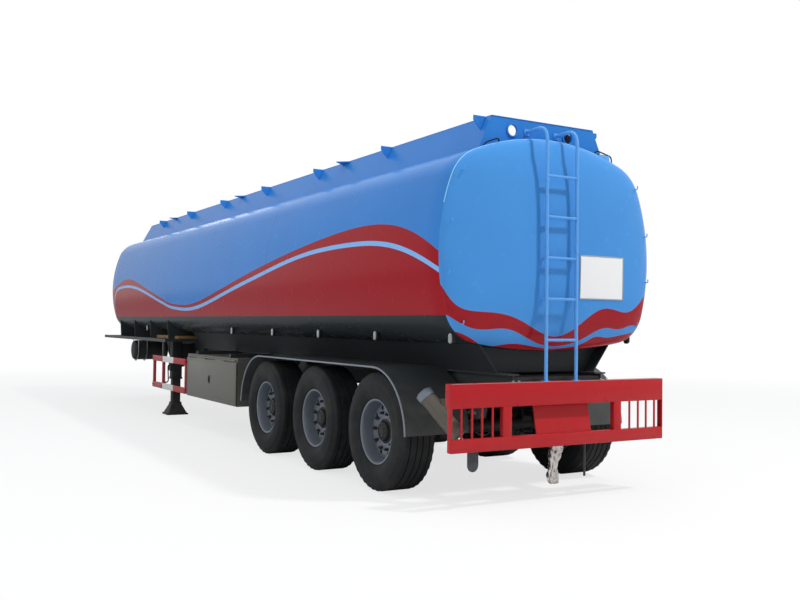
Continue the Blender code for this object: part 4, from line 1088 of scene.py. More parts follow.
@dataclass
class WideWheel:
    """A dished disc wheel with one wide tyre, on its hub and brake drum."""

    x: float = 1.0575
    rim_half: float = 0.149
    holes: int = 10
    hole_radius: float = 0.022
    hole_circle: float = 0.212

    def tyre(self) -> Shape:
        """Return a tyre about the X axis.

        The profile runs from bead to bead: a bulged sidewall, ribs with four grooves, and
        shoulder notches, where the radius drops by a smooth pulse of the angle.
        """
        half = [(0.2865, 0.124), (0.298, 0.140), (0.307, 0.158), (0.314, 0.1625), (0.322, 0.1665),
                (0.338, 0.175), (0.360, 0.1845), (0.366, 0.1868), (0.400, 0.1923), (0.440, 0.1890),
                (0.466, 0.1825), (0.471, 0.1832), (0.490, 0.1735), (0.505, 0.1635), (0.520, 0.156),
                (0.530, 0.150), (0.5345, 0.143), (0.535, 0.138), (0.535, 0.104), (0.523, 0.101),
                (0.523, 0.093), (0.535, 0.090), (0.535, 0.036), (0.523, 0.033), (0.523, 0.025),
                (0.535, 0.022)]
        rows = np.array(symmetric(half))
        steps = 160
        angle = (np.arange(steps) + 0.5) * 2 * np.pi / steps
        pulse = np.clip(np.sin(angle * 40) * 4, -1, 1) * 0.5 + 0.5
        shoulder = np.exp(-((np.abs(rows[:, 1]) - 0.153) / 0.016) ** 2) * (rows[:, 0] > 0.49)
        radius = rows[:, :1] - 0.006 * shoulder[:, None] * pulse[None]
        points = np.stack([np.broadcast_to(rows[:, 1:], radius.shape), radius * np.cos(angle),
                           radius * np.sin(angle)], -1)
        return outward(skin(points, True, True))

    def disc_height(self, radius: Array) -> Array:
        """Return the disc face's place along the axle: flat round the hub, then dished inwards."""
        return np.interp(radius, [0.10, 0.190, 0.203, 0.225, 0.250, 0.281],
                         [0.045, 0.045, 0.049, 0.047, 0.039, 0.026])

    def disc(self) -> Shape:
        """Return the disc with its ring of hand holes.

        Each sector is a grid from a hole's circle out to the sector's border, laid on the
        disc's turned face, and a second grid behind it gives the thickness.
        """
        inner, outer = 0.100, 0.281
        wide = np.pi / self.holes
        across, up = square_rays()
        border = np.stack([across * wide * self.hole_circle,
                           np.where(up > 0, up * (outer - self.hole_circle),
                                    up * (self.hole_circle - inner))], -1)
        flat = holed(border, self.hole_radius, (0.0, 0.08, 0.3, 0.6, 1.0))
        radius = self.hole_circle + flat[..., 1]
        angle = flat[..., 0] / self.hole_circle
        front = self.disc_height(radius)
        back = np.stack([front[::-1] - 0.011, front], 0).reshape(-1, front.shape[1])
        radius = np.concatenate([radius[::-1], radius])
        angle = np.concatenate([angle[::-1], angle])
        points = np.stack([back, radius * np.cos(angle), radius * np.sin(angle)], -1)
        return outward(skin(points, False, True)).ringed(self.holes, Axis.X)

    def rim(self) -> Shape:
        """Return the rim with its rolled flanges and drop centre, as a ring about the X axis."""
        half = self.rim_half
        flange = [(0.286, 0.014), (0.2965, 0.010), (0.2978, 0.004), (0.2965, 0.0), (0.290, 0.0),
                  (0.281, 0.003), (0.276, 0.012), (0.272, 0.050)]
        outer = [(r, half - a) for r, a in flange]
        inner = [(r, a - half) for r, a in reversed(flange)]
        return revolved(outer + [(0.262, 0.060), (0.262, -0.030)] + inner, steps=96, ring=True)

    def build(self) -> None:
        """Make the metal and the tyres of all six wheels."""
        metal = merged([self.rim(), self.disc()])
        # The brake drum is real. Its front is closed across out to r 0.236 in near-black hub paint
        # right behind the hand holes, a dark sheet that is painted shade seen through them.
        drum = [(0.236, 0.022), (0.2608, 0.018), (0.2608, -0.012), (0.243, -0.020), (0.243, -0.080),
                (0.195, -0.100), (0.195, -0.246), (0.190, -0.2545), (0.177, -0.2545),
                (0.176, -0.010), (0.112, -0.008), (0.104, -0.120), (0.092, -0.2245),
                (0.0515, -0.2245), (0.0515, 0.040), (0.02, 0.050)]
        hub = [(0.111, 0.043), (0.112, 0.050), (0.101, 0.053), (0.094, 0.056), (0.091, 0.069),
               (0.086, 0.078), (0.077, 0.083), (0.041, 0.083), (0.038, 0.087), (0.010, 0.088)]
        stud = merged([revolved([(0.016, 0.043), (0.016, 0.067), (0.013, 0.071)], steps=6),
                       revolved([(0.010, 0.066), (0.010, 0.082), (0.008, 0.085)], steps=10)])
        studs = stud.moved((0, 0.1675, 0)).ringed(10, Axis.X)
        flange = bolt(0.006, Axis.X).moved((0.0825, 0.062, 0)).ringed(8, Axis.X)
        valve = tube(rounded([(0.085, 0.268, 0.0), (0.115, 0.256, 0.0), (0.140, 0.255, 0.0)], 0.02),
                     0.0045, 8)
        hub_shape = merged([revolved(drum, steps=64), revolved(hub, steps=48), flange])
        nuts = merged([studs, valve])
        tyre = self.tyre()
        for side, x, lead in (("left", self.x, 0.0), ("right", -self.x, 5.0)):
            for number, y in AXLES.items():
                spot = f"{side}_{number}"
                rows = (f"tyre_{spot}_outer", f"tyre_{spot}_inner")
                for name, shape, finish, nodes, slot in (
                        ("rims", metal, SILVER, (f"wheel_{spot}",), "wheel_steel"),
                        ("hub", hub_shape, HUB_BLACK, (), None), ("nuts", nuts, DEEP, (), None),
                        ("rubber", tyre, TYRE, rows, "tyre")):
                    put = on_side(shape, side).turned(11.0 * number + lead, Axis.X)
                    make(f"{name}_{spot}", [put.moved((x, y, AXLE_Z))], finish,
                         f"wheel_set_{spot}", nodes)


@dataclass
class Suspension:
    """Axle beams on leaf springs, with seats, clips, and brake chambers on brackets with arms."""

    leaves: tuple = (0.54, 0.44, 0.32)
    leaf: float = 0.024
    top: float = 0.685
    width: float = 0.09
    brake_x: float = 0.30

    def spring(self) -> list:
        """Return one pack: each leaf is a flat bar swept on a shallow arc y -> z."""
        shapes = []
        for i, half in enumerate(self.leaves):
            at = np.linspace(-half, half, 17)
            z = self.top - self.leaf * (i + 0.5) - 0.004 * (at / half) ** 2
            bar = corner_rounded(self.width, self.leaf - 0.004, 0.004, 2)
            shapes.append(swept(np.stack([np.zeros(17), at, z], -1), bar, (0, 0, 1)))
        clip = soft_box((0.0445, -0.018, self.top - 0.078), (0.0515, 0.018, self.top + 0.003))
        both = merged([clip, clip.mirrored()])
        return shapes + [both.repeated([(0, -0.24, 0), (0, 0.24, 0)])]

    def clamp(self) -> list:
        """Return the seat, the top pad and the two U-bolts with their nuts."""
        low, reach, crest = AXLE_Z - 0.078, 0.053, 0.708
        bend = rounded([(-reach, 0, low - 0.02), (-reach, 0, crest), (reach, 0, crest),
                        (reach, 0, low - 0.02)], 0.03)
        nuts = bolt(0.014, Axis.Z, -1).repeated([(x, 0, low - 0.001) for x in (-reach, reach)])
        clasp = merged([tube(bend, 0.009, 10), nuts])
        return [soft_box((-0.055, -0.068, low), (0.055, 0.068, low + 0.020)),
                soft_box((-0.045, -0.060, AXLE_Z + 0.03), (0.045, 0.060, 0.620)),
                soft_box((-0.055, -0.068, self.top), (0.055, 0.068, self.top + 0.016)),
                clasp.repeated([(0, -0.05, 0), (0, 0.05, 0)])]

    def brake(self) -> Shape:
        """Return the left brake's chamber, bracket and arm."""
        pot = [(0.03, -0.275), (0.072, -0.272), (0.084, -0.262), (0.085, -0.215), (0.090, -0.210),
               (0.090, -0.200), (0.085, -0.195), (0.084, -0.155), (0.070, -0.142),
               (0.030, -0.138), (0.020, -0.130), (0.011, -0.128), (0.011, -0.02)]
        bracket = [(-0.05, AXLE_Z - 0.03), (0.01, AXLE_Z - 0.03), (0.01, AXLE_Z + 0.06),
                   (-0.05, AXLE_Z + 0.075)]
        arm = rounded([(self.brake_x, -0.01, AXLE_Z + 0.02), (0.42, 0.03, AXLE_Z + 0.04),
                       (0.60, 0.03, AXLE_Z + 0.04)], 0.04)
        return merged([revolved(pot, (self.brake_x, 0, AXLE_Z + 0.02), Axis.Y, 28),
                       plate(bracket, 0.012, Plane.YZ, self.brake_x), tube(arm, 0.012, 10)])

    def build(self) -> None:
        """Make the three axles."""
        half = [(0.020, 1.087), (0.045, 1.080), (0.045, 0.9375), (0.0505, 0.9375), (0.0505, 0.8975),
                (0.045, 0.8975), (0.045, 0.798), (0.064, 0.7925), (0.064, 0.782), (0.182, 0.7785),
                (0.182, 0.7635), (0.064, 0.758)]
        pack, brake = merged(self.spring() + self.clamp()), self.brake()
        axle = merged([revolved(symmetric(half), (0, 0, AXLE_Z), Axis.X, 40), brake,
                       brake.mirrored(), pack.repeated([(RAIL_X, 0, 0), (-RAIL_X, 0, 0)])])
        for number, y in AXLES.items():
            make(f"axle_beam_{number}", [axle.moved((0, y, 0))], DEEP,
                 stands_for=(f"axle_{number}",))


@dataclass
class Chassis:
    """Paint and small parts of the two frames: hanger bolts, air lines and bearer pads."""

    face: float = 0.535
    equalisers: tuple = (4.315, 3.005)
    end_hangers: tuple = (5.525, 1.795)
    lines: tuple = ((0.415, 1.02, 0.009), (-0.415, 1.03, 0.009), (-0.415, 0.99, 0.007))

    def build(self) -> None:
        """Paint both frames and make what sits on them: the air lines sag between their clips."""
        paint_node("rear_frame", CHASSIS)
        paint_node("front_frame", CHASSIS)
        spots = [(mid + dy, 0.765) for mid in self.equalisers for dy in (-0.1, 0.0, 0.1)]
        spots += [(mid + dy, 0.83) for mid in self.equalisers for dy in (-0.13, 0.13)]
        spots += [(mid + dy, z) for mid in self.end_hangers for dy in (-0.05, 0.05)
                  for z in (0.73, 0.82)]
        heads = bolt(0.012, Axis.X).repeated([(self.face, *spot) for spot in spots])
        make("hanger_bolts", [heads, heads.mirrored()], ZINC)
        y = np.linspace(-3.9, 5.6, 60)
        sag = 0.012 * np.abs(np.sin(y * 2.1))
        make("air_lines", [tube(np.stack([np.full(60, x), y, z - sag], -1), radius, 8, (0, 0, 1))
                           for x, z, radius in self.lines], RUBBER_HOSE)
        pad = soft_box((0.56, -3.4, 1.236), (0.96, -1.98, 1.285), 0.006)
        make("bearer_pads", [pad, pad.mirrored()], TAN)


@dataclass
class CouplingEnd:
    """Fittings at the front: edge caps and air sockets on the platform, and the reservoirs."""

    middle: tuple = (0.8875, -3.93, 1.008)
    band: float = 0.174
    band_top: float = 1.186
    bands: tuple = (0.98, 1.13)
    sockets: tuple = (-0.30, -0.12, 0.06)

    def build(self) -> None:
        """Make the platform's fittings and the two air reservoirs."""
        cap = soft_box((1.137, -6.162, 1.192), (1.178, -5.93, 1.238), 0.006)
        make("platform_caps", [cap, cap.mirrored()], BUMPER_RED)
        body = [(0.030, 0.0), (0.030, -0.02), (0.020, -0.024), (0.020, -0.05), (0.027, -0.054),
                (0.027, -0.066), (0.010, -0.070)]
        socket = revolved(body, (0, -5.60, 1.36), Axis.Y, 24)
        make("air_sockets", [socket.repeated([(x, 0, 0) for x in self.sockets]),
                             soft_box((-0.40, -5.62, 1.31), (0.16, -5.59, 1.41), 0.005),
                             soft_box((-0.15, -5.615, 1.245), (-0.09, -5.595, 1.32), 0.004)],
             BUMPER_RED)
        end = [(0.05, 0.585), (0.11, 0.588), (0.145, 0.598), (0.163, 0.615), (0.17, 0.635)]
        x, y, z = self.middle
        shell = revolved(symmetric(end, x), (0, y, z), Axis.X, 48)
        turn = np.linspace(0.0, -np.pi * 0.98, 28)
        arc = np.stack([np.zeros(28), y + self.band * np.cos(turn), z + self.band * np.sin(turn)],
                       -1)
        path = np.concatenate([[(0, y + self.band, self.band_top)], arc,
                               [(0, y - self.band, self.band_top)]])
        strap = swept(path, corner_rounded(0.040, 0.005, 0.002, 2), (1, 0, 0))
        straps = strap.repeated([(at, 0, 0) for at in self.bands])
        for side in SIDES:
            make(f"reservoir_shell_{side}", [on_side(shell, side)], DEEP,
                 stands_for=(f"reservoir_{side}",))
            make(f"reservoir_straps_{side}", [on_side(straps, side)], ZINC)


@dataclass
class LandingGear:
    """Two square telescopic legs with boot feet, gearbox, cross shaft and folding crank."""

    x: float = 0.84
    y: float = -2.48
    outer: float = 0.16
    inner: float = 0.13
    split: float = 0.58
    shaft_z: float = 0.80

    def leg(self) -> Shape:
        """Return the left leg with its foot, its bracket on the frame and the brace."""
        x, y = self.x, self.y
        o, i = self.outer / 2, self.inner / 2
        boot = []
        for size, z in ((0.17, 0.0), (0.17, 0.022), (0.150, 0.032), (0.085, 0.165), (0.083, 0.20)):
            ring = corner_rounded(2 * size, 2 * size, 0.018, 3)
            boot.append(np.column_stack([ring + (x, y), np.full(len(ring), z)]))
        heads = [(0.562, y + dy, z) for dy in (-0.067, 0.067) for z in (0.91, 1.02, 1.14)]
        return merged([soft_box((x - o, y - o, self.split), (x + o, y + o, 1.19), 0.012, 3),
                       soft_box((x - i, y - i, 0.15), (x + i, y + i, self.split + 0.03), 0.010, 3),
                       outward(skin(np.stack(boot), False, True, True)),
                       soft_box((x - o - 0.006, y - o - 0.006, self.split - 0.004),
                                (x + o + 0.006, y + o + 0.006, self.split + 0.028), 0.004),
                       soft_box((RAIL_FACE, y - 0.05, 0.90), (x - o, y + 0.05, 1.15), 0.004),
                       soft_box((RAIL_FACE, y - 0.085, 0.88), (0.562, y + 0.085, 1.17), 0.003),
                       bolt(0.013, Axis.X).repeated(heads),
                       tube([(0.60, y, 0.70), (0.56, y, 0.90)], 0.014, 8, (0, 1, 0))])

    def build(self) -> None:
        """Make both legs with their shaft, gearbox and crank."""
        leg, z = self.leg(), self.shaft_z
        collar = revolved([(0.03, 0.0), (0.03, 0.04), (0.024, 0.045)], axis=Axis.X, steps=20)
        shapes = [leg, leg.mirrored(),
                  tube([(-self.x, self.y, z), (self.x, self.y, z)], 0.019, 16, (0, 0, 1)),
                  collar.repeated([(sign * (self.x - 0.125), self.y, z) for sign in (-1, 1)])]
        shapes.append(soft_box((0.918, self.y - 0.07, 0.71), (0.942, self.y + 0.07, 0.89), 0.008))
        crank = rounded([(0.93, self.y, z), (0.965, self.y, z), (0.98, self.y + 0.03, 0.77),
                         (0.99, self.y + 0.10, 0.56), (1.01, self.y + 0.12, 0.53),
                         (1.08, self.y + 0.12, 0.53)], 0.02)
        shapes.append(tube(crank, 0.0095, 12, (0.1, 0.9, 0.3)))
        make("landing_legs", shapes, DEEP, stands_for=("landing_gear",))
        grip = [(x, self.y + 0.12, 0.53) for x in (1.035, 1.085)]
        make("crank_grip", [tube(grip, 0.014, 12, (0, 0, 1))], RUBBER_HOSE)


@dataclass
class Mudguard:
    """A sheet guard over the three wheels, with a rolled outer lip and stays."""

    outer: float = 1.25
    inner: float = 0.585
    radius: float = 0.590
    sheet: float = 0.008
    lead: float = 0.13
    drop: float = 0.02

    def line(self, x: float, radius: float) -> Array:
        """Return the guard's run at x, at a distance from the axles: rear arc, flat, front arc."""
        rear, front = AXLES[3], AXLES[1] - self.lead
        arc = np.linspace(math.asin(self.drop / self.radius), np.pi / 2, 28)
        out, up = radius * np.cos(arc), AXLE_Z + radius * np.sin(arc)
        flat = np.linspace(rear, front, 40)[1:-1]
        y = np.concatenate([rear + out, flat, front - out[::-1]])
        z = np.concatenate([up, np.full(len(flat), AXLE_Z + radius), up[::-1]])
        return np.stack([np.full(len(y), x), y, z], -1)

    def build(self) -> None:
        """Make both guards, their lips and their stays."""
        top, under = AXLE_Z + self.radius, self.radius - self.sheet
        corners = ((self.inner, self.radius), (self.outer, self.radius), (self.outer, under),
                   (self.inner, under))
        section = np.stack([self.line(x, radius) for x, radius in corners], 1)
        shapes = [outward(skin(section, False, True, True)),
                  soft_box((self.inner, 2.10, top - 0.12), (self.inner + 0.008, 5.07, top - 0.003),
                           0.002)]
        stay = soft_box((RAIL_FACE, -0.03, top - 0.10), (0.589, 0.03, top - 0.03), 0.003)
        rib = soft_box((0.60, -0.018, top - 0.022), (1.23, 0.018, top - 0.007), 0.003)
        shapes.append(stay.repeated([(0, y, 0) for y in (2.25, 3.14, 4.03, 4.92)]))
        shapes.append(rib.repeated([(0, y, 0) for y in (2.22, 3.005, 4.315, 4.97)]))
        # The rolled lip is a real part; its pale grey paint is a painted highlight along the curved
        # edge.
        lip = tube(self.line(self.outer - 0.003, self.radius - self.sheet / 2), 0.0085, 10,
                   (1, 0, 0))
        for side in SIDES:
            make(f"guard_sheet_{side}", [on_side(merged(shapes), side)], FENDER,
                 stands_for=(f"mudguard_{side}",))
            make(f"guard_lip_{side}", [on_side(lip, side)], PALE_EDGE_HIGHLIGHT)


@dataclass
class SideGuard:
    """Two-bar side guards on posts, red with a white third."""

    x: float = 1.18
    low: float = 0.45
    high: float = 0.965
    bar: float = 0.09

    def build(self) -> None:
        """Make the guards, each from its front, its rear and the top of each post by its y."""
        spans = {"left": (-2.64, -0.88, {-2.614: 0.955, -2.09: 1.1897, -0.906: 0.955}),
                 "right": (-2.64, 1.25, {-2.614: 0.955, -2.09: 1.1897, -0.45: 1.05, 0.90: 1.05,
                                         1.224: 0.955})}
        for side, (front, rear, posts) in spans.items():
            shapes = [soft_box((self.x - 0.03, front, z), (self.x, rear, z + self.bar), 0.007, 3)
                      for z in (self.low, self.high - self.bar)]
            for y, top in posts.items():
                shapes.append(soft_box((self.x - 0.05, y - 0.025, self.low + 0.01),
                                       (self.x - 0.008, y + 0.025, top), 0.005))
                heads = [(self.x - 0.0002, y, z) for z in (self.low + 0.045, self.high - 0.045)]
                shapes.append(bolt(0.009, Axis.X).repeated(heads))
            make(f"side_bars_{side}", [on_side(merged(shapes), side)], GUARD_RED,
                 stands_for=(f"side_guard_{side}",))


@dataclass
class Locker:
    """The steel valve locker: folded door with lock and hinge, and the outlets inside."""

    x: float = 1.18
    front: float = -0.80
    rear: float = 1.25
    low: float = 0.44
    hinge_z: float = 1.02

    def build(self) -> None:
        """Paint the shell and make the door, its lock and the outlets."""
        paint_node("locker", STAINLESS)
        door = "locker_door"
        face, top = self.x, self.hinge_z - 0.022
        shapes = [soft_box((face - 0.018, self.front + 0.004, self.low + 0.004),
                           (face - 0.003, self.rear - 0.004, top), 0.003)]
        bead, border = 0.0035, 0.035
        y0, y1 = self.front + border, self.rear - border
        z0, z1 = self.low + border, top - border + 0.01
        loop = np.array([(face - bead, y, z) for y, z in ((y0, z0), (y1, z0), (y1, z1), (y0, z1))])
        shapes += edged(loop, circle(bead, 8), (1, 0, 0))
        step = (self.rear - self.front - 0.10) / 5
        for i in (1, 3):
            a = self.front + 0.05 + i * step
            pin = [(face - 0.009, y, self.hinge_z) for y in (a + 0.001, a + step - 0.001)]
            shapes.append(tube(pin, 0.0098, 12, (0, 0, 1)))
            shapes.append(soft_box((face - 0.014, a + 0.02, self.hinge_z - 0.035),
                                   (face - 0.005, a + step - 0.02, self.hinge_z - 0.003), 0.002))
        make("door_panel", shapes, STAINLESS, door, (door,))
        lock = [plate(corner_rounded(0.048, 0.110, 0.023) + (0.205, 0.732), 0.012, Plane.YZ,
                      face - 0.001, 0.003),
                soft_box((face + 0.003, 0.195, 0.700), (face + 0.012, 0.215, 0.764), 0.004)]
        make("door_lock", lock, HUB_BLACK, door)
        cup = [(0.055, 0.775), (0.055, 0.86), (0.075, 0.865), (0.075, 0.885), (0.062, 0.89),
               (0.062, 0.96), (0.078, 0.965), (0.078, 1.00), (0.030, 1.012)]
        lever = soft_box((0.95, -0.008, 0.77), (1.02, 0.008, 0.815), 0.003)
        outlet = merged([revolved(cup, (0, 0, OUTLET_Z), Axis.X, 36),
                         lever.repeated([(0, 0.075, 0), (0, -0.075, 0)])])
        make("outlet_couplings", [outlet.repeated([(0, y, 0) for y in OUTLETS])], ZINC)


@dataclass
class Bumper:
    """Rear underrun bumper: deep folded panel, hollow lower rail, slats, posts and niche."""

    half: float = 1.18
    panel_low: float = 0.838
    rail_low: float = 0.481
    rail_top: float = 0.590
    slats: tuple = (0.765, 0.871, 0.971, 1.076)
    bolts: tuple = (-0.52, -0.46, 0.46, 0.52)

    def build(self) -> None:
        """Make the bumper with its niche, tongue and bolts, and a painted highlight: a pale line
        along its upper edge.
        """
        f, h = BUMPER_FACE, self.half
        low, high = self.rail_top - 0.005, self.panel_low + 0.004
        slat = soft_box((-0.009, f - 0.014, low + 0.001), (0.009, f - 0.002, high - 0.001), 0.003)
        grille = merged([soft_box((h - 0.014, f - 0.058, low), (h - 0.001, f - 0.001, high), 0.003),
                         soft_box((0.57, f - 0.05, low), (0.66, f - 0.001, high), 0.005),
                         slat.repeated([(x, 0, 0) for x in self.slats])])
        niche = [(f - 0.082, high), (f - 0.030, 0.587), (f - 0.042, 0.587), (f - 0.094, high)]
        shapes = [soft_box((-h, f - 0.09, self.panel_low), (h, f, BUMPER_TOP), 0.006, 3),
                  soft_box((-h, f - 0.06, self.rail_low), (h, f, self.rail_top), 0.008, 3),
                  grille, grille.mirrored(), plate(niche, 0.617, Plane.YZ, -0.0215)]
        make("bumper_frame", shapes, BUMPER_RED, stands_for=("bumper",))
        turn = np.radians(np.linspace(0, -180, 13))
        foot = np.stack([0.930 + 0.054 * np.cos(turn), 0.372 + 0.058 * np.sin(turn)], -1)
        tongue = np.concatenate([[(0.984, 0.50)], foot, [(0.876, 0.50)]])
        make("bumper_tongue", [plate(tongue, 0.010, Plane.XZ, f - 0.0515)], FLAP)
        places = [(x, f - 0.055, BUMPER_TOP - 0.0002) for x in self.bolts]
        make("bumper_bolts", [bolt(0.012, Axis.Z).repeated(places)], ZINC)
        # Painted highlight: a thin pale tube on the bumper's rounded upper rear edge stands in for
        # light glinting on it.
        edge = [(x, f - 0.006, BUMPER_TOP - 0.0045) for x in (0.004 - h, h - 0.004)]
        make("bumper_edge", [tube(edge, 0.0055, 10, (0, 0, 1))], PALE_EDGE_HIGHLIGHT)


@dataclass
class TailPieces:
    """What hangs by the bumper: a holder tube, and a drain pipe with its wrap and a thin rod."""

    high: tuple = (1.13, 5.675, 0.925)
    low: tuple = (0.945, 5.925, 0.59)
    holder_radius: float = 0.070
    drain: tuple = (-0.075, 5.93)
    rod: tuple = (-0.34, 6.03)
    hung: float = 1.035

    def holder(self) -> None:
        """Make the slanted tube with its collar, its arm on the frame and its cap."""
        high, low = np.array(self.high), np.array(self.low)
        along = (low - high) / np.linalg.norm(low - high)

        def part(start: Array, end: Array, radius: float, sides: int = 40, cuts: int = 2) -> Shape:
            """Return a stretch of round tube with that many rings."""
            return tube(np.linspace(start, end, cuts), radius, sides, (0, 0, 1))

        x, y, z = (high + low) / 2
        shapes = [part(high, low, self.holder_radius, cuts=12),
                  part(low - along * 0.05, low + along * 0.006, 0.081),
                  soft_box((RAIL_FACE, y - 0.03, 0.86), (x, y + 0.03, 0.89), 0.003),
                  soft_box((x - 0.03, y - 0.028, z), (x + 0.01, y + 0.028, 0.888), 0.003)]
        make("holder_body", shapes, DULL_TUBE, stands_for=("holder_tube",))
        make("holder_cap", [part(high - along * 0.012, high + along * 0.045, 0.0755),
                            part(high - along * 0.024, high - along * 0.010, 0.056, 32)], TUBE_CAP)

    def wrap(self) -> Shape:
        """Return the foil: rings round the pipe's end, their radius rippled by sines.

        The radius is a waisted profile of z, plus 0.006 sin(3a + 26z) sin(41z), 0.004
        sin(7a - 19z) and 0.003 sin(11a + 63z), where a is the angle round the pipe.
        """
        x, y = self.drain
        turn = np.arange(36) * 2 * np.pi / 36
        z = np.linspace(0.118, 0.56, 40)[:, None]
        radius = (np.interp(z, [0.118, 0.135, 0.19, 0.25, 0.31, 0.37, 0.56],
                            [0.034, 0.048, 0.051, 0.036, 0.040, 0.056, 0.060])
                  + 0.006 * np.sin(3 * turn + 26 * z) * np.sin(41 * z)
                  + 0.004 * np.sin(7 * turn - 19 * z) + 0.003 * np.sin(11 * turn + 63 * z))
        rings = np.stack([x - 0.005 + 0.02 * np.sin(9 * z) + radius * np.cos(turn),
                          y + radius * np.sin(turn), np.broadcast_to(z, radius.shape)], -1)
        return outward(skin(rings, False, True, True))

    def build(self) -> None:
        """Make the tail pieces on what carries them."""
        self.holder()
        make("drain_wrap", [self.wrap()], FOIL)
        profile = [(0.030, 0.35), (0.030, 0.40), (0.052, 0.50), (0.052, self.hung)]
        rod = [(*self.rod, z) for z in (0.18, self.hung)]
        make("drain_pipe", [revolved(profile, (*self.drain, 0), Axis.Z, 32),
                            tube(rod, 0.011, 12, (1, 0, 0))], CHASSIS)


@dataclass
class Ladder:
    """Rear ladder of round tube, hooked over the trough, with rungs and stand-offs."""

    x: float = 0.03
    width: float = 0.335
    y: float = 6.14
    radius: float = 0.016
    rungs: tuple = (1.39, 1.744, 2.098, 2.452, 2.806)

    def build(self) -> None:
        """Make the ladder."""
        left, right = self.x + self.width / 2, self.x - self.width / 2
        shapes = []
        for x in (left, right):
            path = rounded([(x, self.y, BUMPER_TOP + 0.0003), (x, self.y, 3.239),
                            (x, 5.8505, 3.227)], 0.15, 14)
            shapes.append(tube(path, self.radius, 16, (1, 0, 0)))
            shapes.append(soft_box((x - 0.03, self.y - 0.03, BUMPER_TOP + 0.0002),
                                   (x + 0.03, self.y + 0.018, BUMPER_TOP + 0.0075), 0.002))
            shapes.append(soft_box((x - 0.028, 5.8504, 3.197), (x + 0.028, 5.857, 3.257), 0.002))
            for z in (self.rungs[1], self.rungs[2]):
                shapes.append(tube([(x, Tank().rear_y(x, z) - 0.004, z), (x, self.y, z)], 0.010, 10,
                                   (0, 0, 1)))
        shapes += [tube([(right, self.y, z), (left, self.y, z)], 0.0128, 14, (0, 0, 1))
                   for z in self.rungs]
        make("ladder_frame", shapes, STEP_BLUE, stands_for=("ladder",))


@dataclass
class Pipework:
    """Bottom outlets with foot valves and flanges, and the header to the locker."""

    def build(self) -> None:
        """Make the header, and each outlet's valve, bend and flanges about its own y."""
        z = OUTLET_Z
        drop = rounded([(0, 0, 1.285), (0, 0, z), (0.755, 0, z)], 0.12, 8)
        valve = [(0.11, 0.0), (0.11, -0.022), (0.085, -0.03), (0.080, -0.13), (0.088, -0.15),
                 (0.088, -0.29), (0.07, -0.32), (0.11, -0.325), (0.11, -0.345), (0.055, -0.35)]
        ring = bolt(0.009, Axis.Z, -1).moved((0.096, 0, 0)).ringed(8, Axis.Z)
        outlet = merged([tube(drop, 0.054, 24), revolved(valve, (0, 0, 1.2895), Axis.Z, 32),
                         ring.moved((0, 0, 1.2675)),
                         revolved([(0.092, 0.0), (0.092, 0.018), (0.055, 0.02)], (0.45, 0, z),
                                  Axis.X, 28),
                         revolved([(0.092, 0.0), (0.092, 0.014)], (0.7405, 0, z), Axis.X, 28)])
        header = [(0, OUTLETS[0] - 0.15, 0.79), (0, OUTLETS[-1] + 0.15, 0.79)]
        shapes = [tube(header, 0.049, 24, (0, 0, 1)), outlet.repeated([(0, y, 0) for y in OUTLETS])]
        make("outlet_pipes", shapes, CHASSIS, stands_for=("discharge_pipes",))


@dataclass
class Fittings:
    """Small fittings on the tank: marker lamps, studs, lamp arms and the blank sign."""

    lamps: tuple = (-3.65, 0.61, 2.02, 3.31, 4.58, 5.88)
    lamp_z: float = 1.40
    arms: tuple = (((0.80, 5.92, 2.94), (0.70, 5.93, 3.073), (0.574, 5.95, 3.120),
                    (0.56, 5.93, 3.06)),
                   ((-0.50, 5.93, 3.06), (-0.557, 5.93, 3.135), (-0.738, 5.93, 3.094),
                    (-0.75, 5.93, 2.98)))
    studs: tuple = ((0.98, 2.80), (1.10, 2.36), (1.12, 1.93), (0.98, 1.52))
    sign_x: tuple = (-0.232, -0.760)
    sign_z: tuple = (1.757, 2.140)

    def sign(self) -> None:
        """Make the blank sign: a thin plate bent to the head, and its border."""
        x, z = np.meshgrid(np.linspace(*self.sign_x, 22), np.linspace(*self.sign_z, 16),
                           indexing="ij")
        surface = Tank().rear_y(x, z)
        face = np.stack([x, surface + 0.0035, z], -1)
        rim = np.stack([np.stack([x, surface - 0.002, z], -1), face])
        edge = np.concatenate([rim[:, :, 0], rim[:, -1, 1:], rim[:, ::-1, -1][:, 1:],
                               rim[:, 0, ::-1][:, 1:-1]], 1)
        make("sign_plate", [skin(face), skin(edge, False, True)], SIGN_WHITE)
        make("sign_border", [swept(edge[1], circle(0.006, 8, 0.5), (0, 1, 0), True)], SIGN_EDGE)

    def build(self) -> None:
        """Make the fittings."""
        cup = plate(corner_rounded(0.056, 0.098, 0.027), 0.030, Plane.YZ, 0.992, 0.004)
        lens = plate(corner_rounded(0.046, 0.088, 0.022), 0.014, Plane.YZ, 1.011, 0.005)
        rows = [(0, y, self.lamp_z) for y in self.lamps]
        make("marker_cups", [cup.repeated(rows), cup.mirrored().repeated(rows)], DEEP)
        make("marker_lenses", [lens.repeated(rows), lens.mirrored().repeated(rows)], CLEAR)
        arms = [tube(rounded(arm, 0.03), 0.0065, 10) for arm in self.arms]
        arms.append(soft_box((-0.70, 5.925, 3.02), (-0.56, 5.945, 3.10), 0.004))
        make("lamp_brackets", arms, HUB_BLACK)
        cover = [soft_box((-0.695, 5.944, 3.025), (-0.565, 5.955, 3.095), 0.003)]
        make("lamp_cover", cover, STEP_BLUE)
        studs = []
        for x, z in [(side * x, z) for side in (1, -1) for x, z in self.studs]:
            y = Tank().rear_y(x, z)
            path = rounded([(x, y - 0.004, z), (x, y + 0.035, z), (x, y + 0.035, z + 0.03)], 0.012)
            studs.append(tube(path, 0.005, 8))
        make("head_studs", studs, STEP_BLUE)
        self.sign()


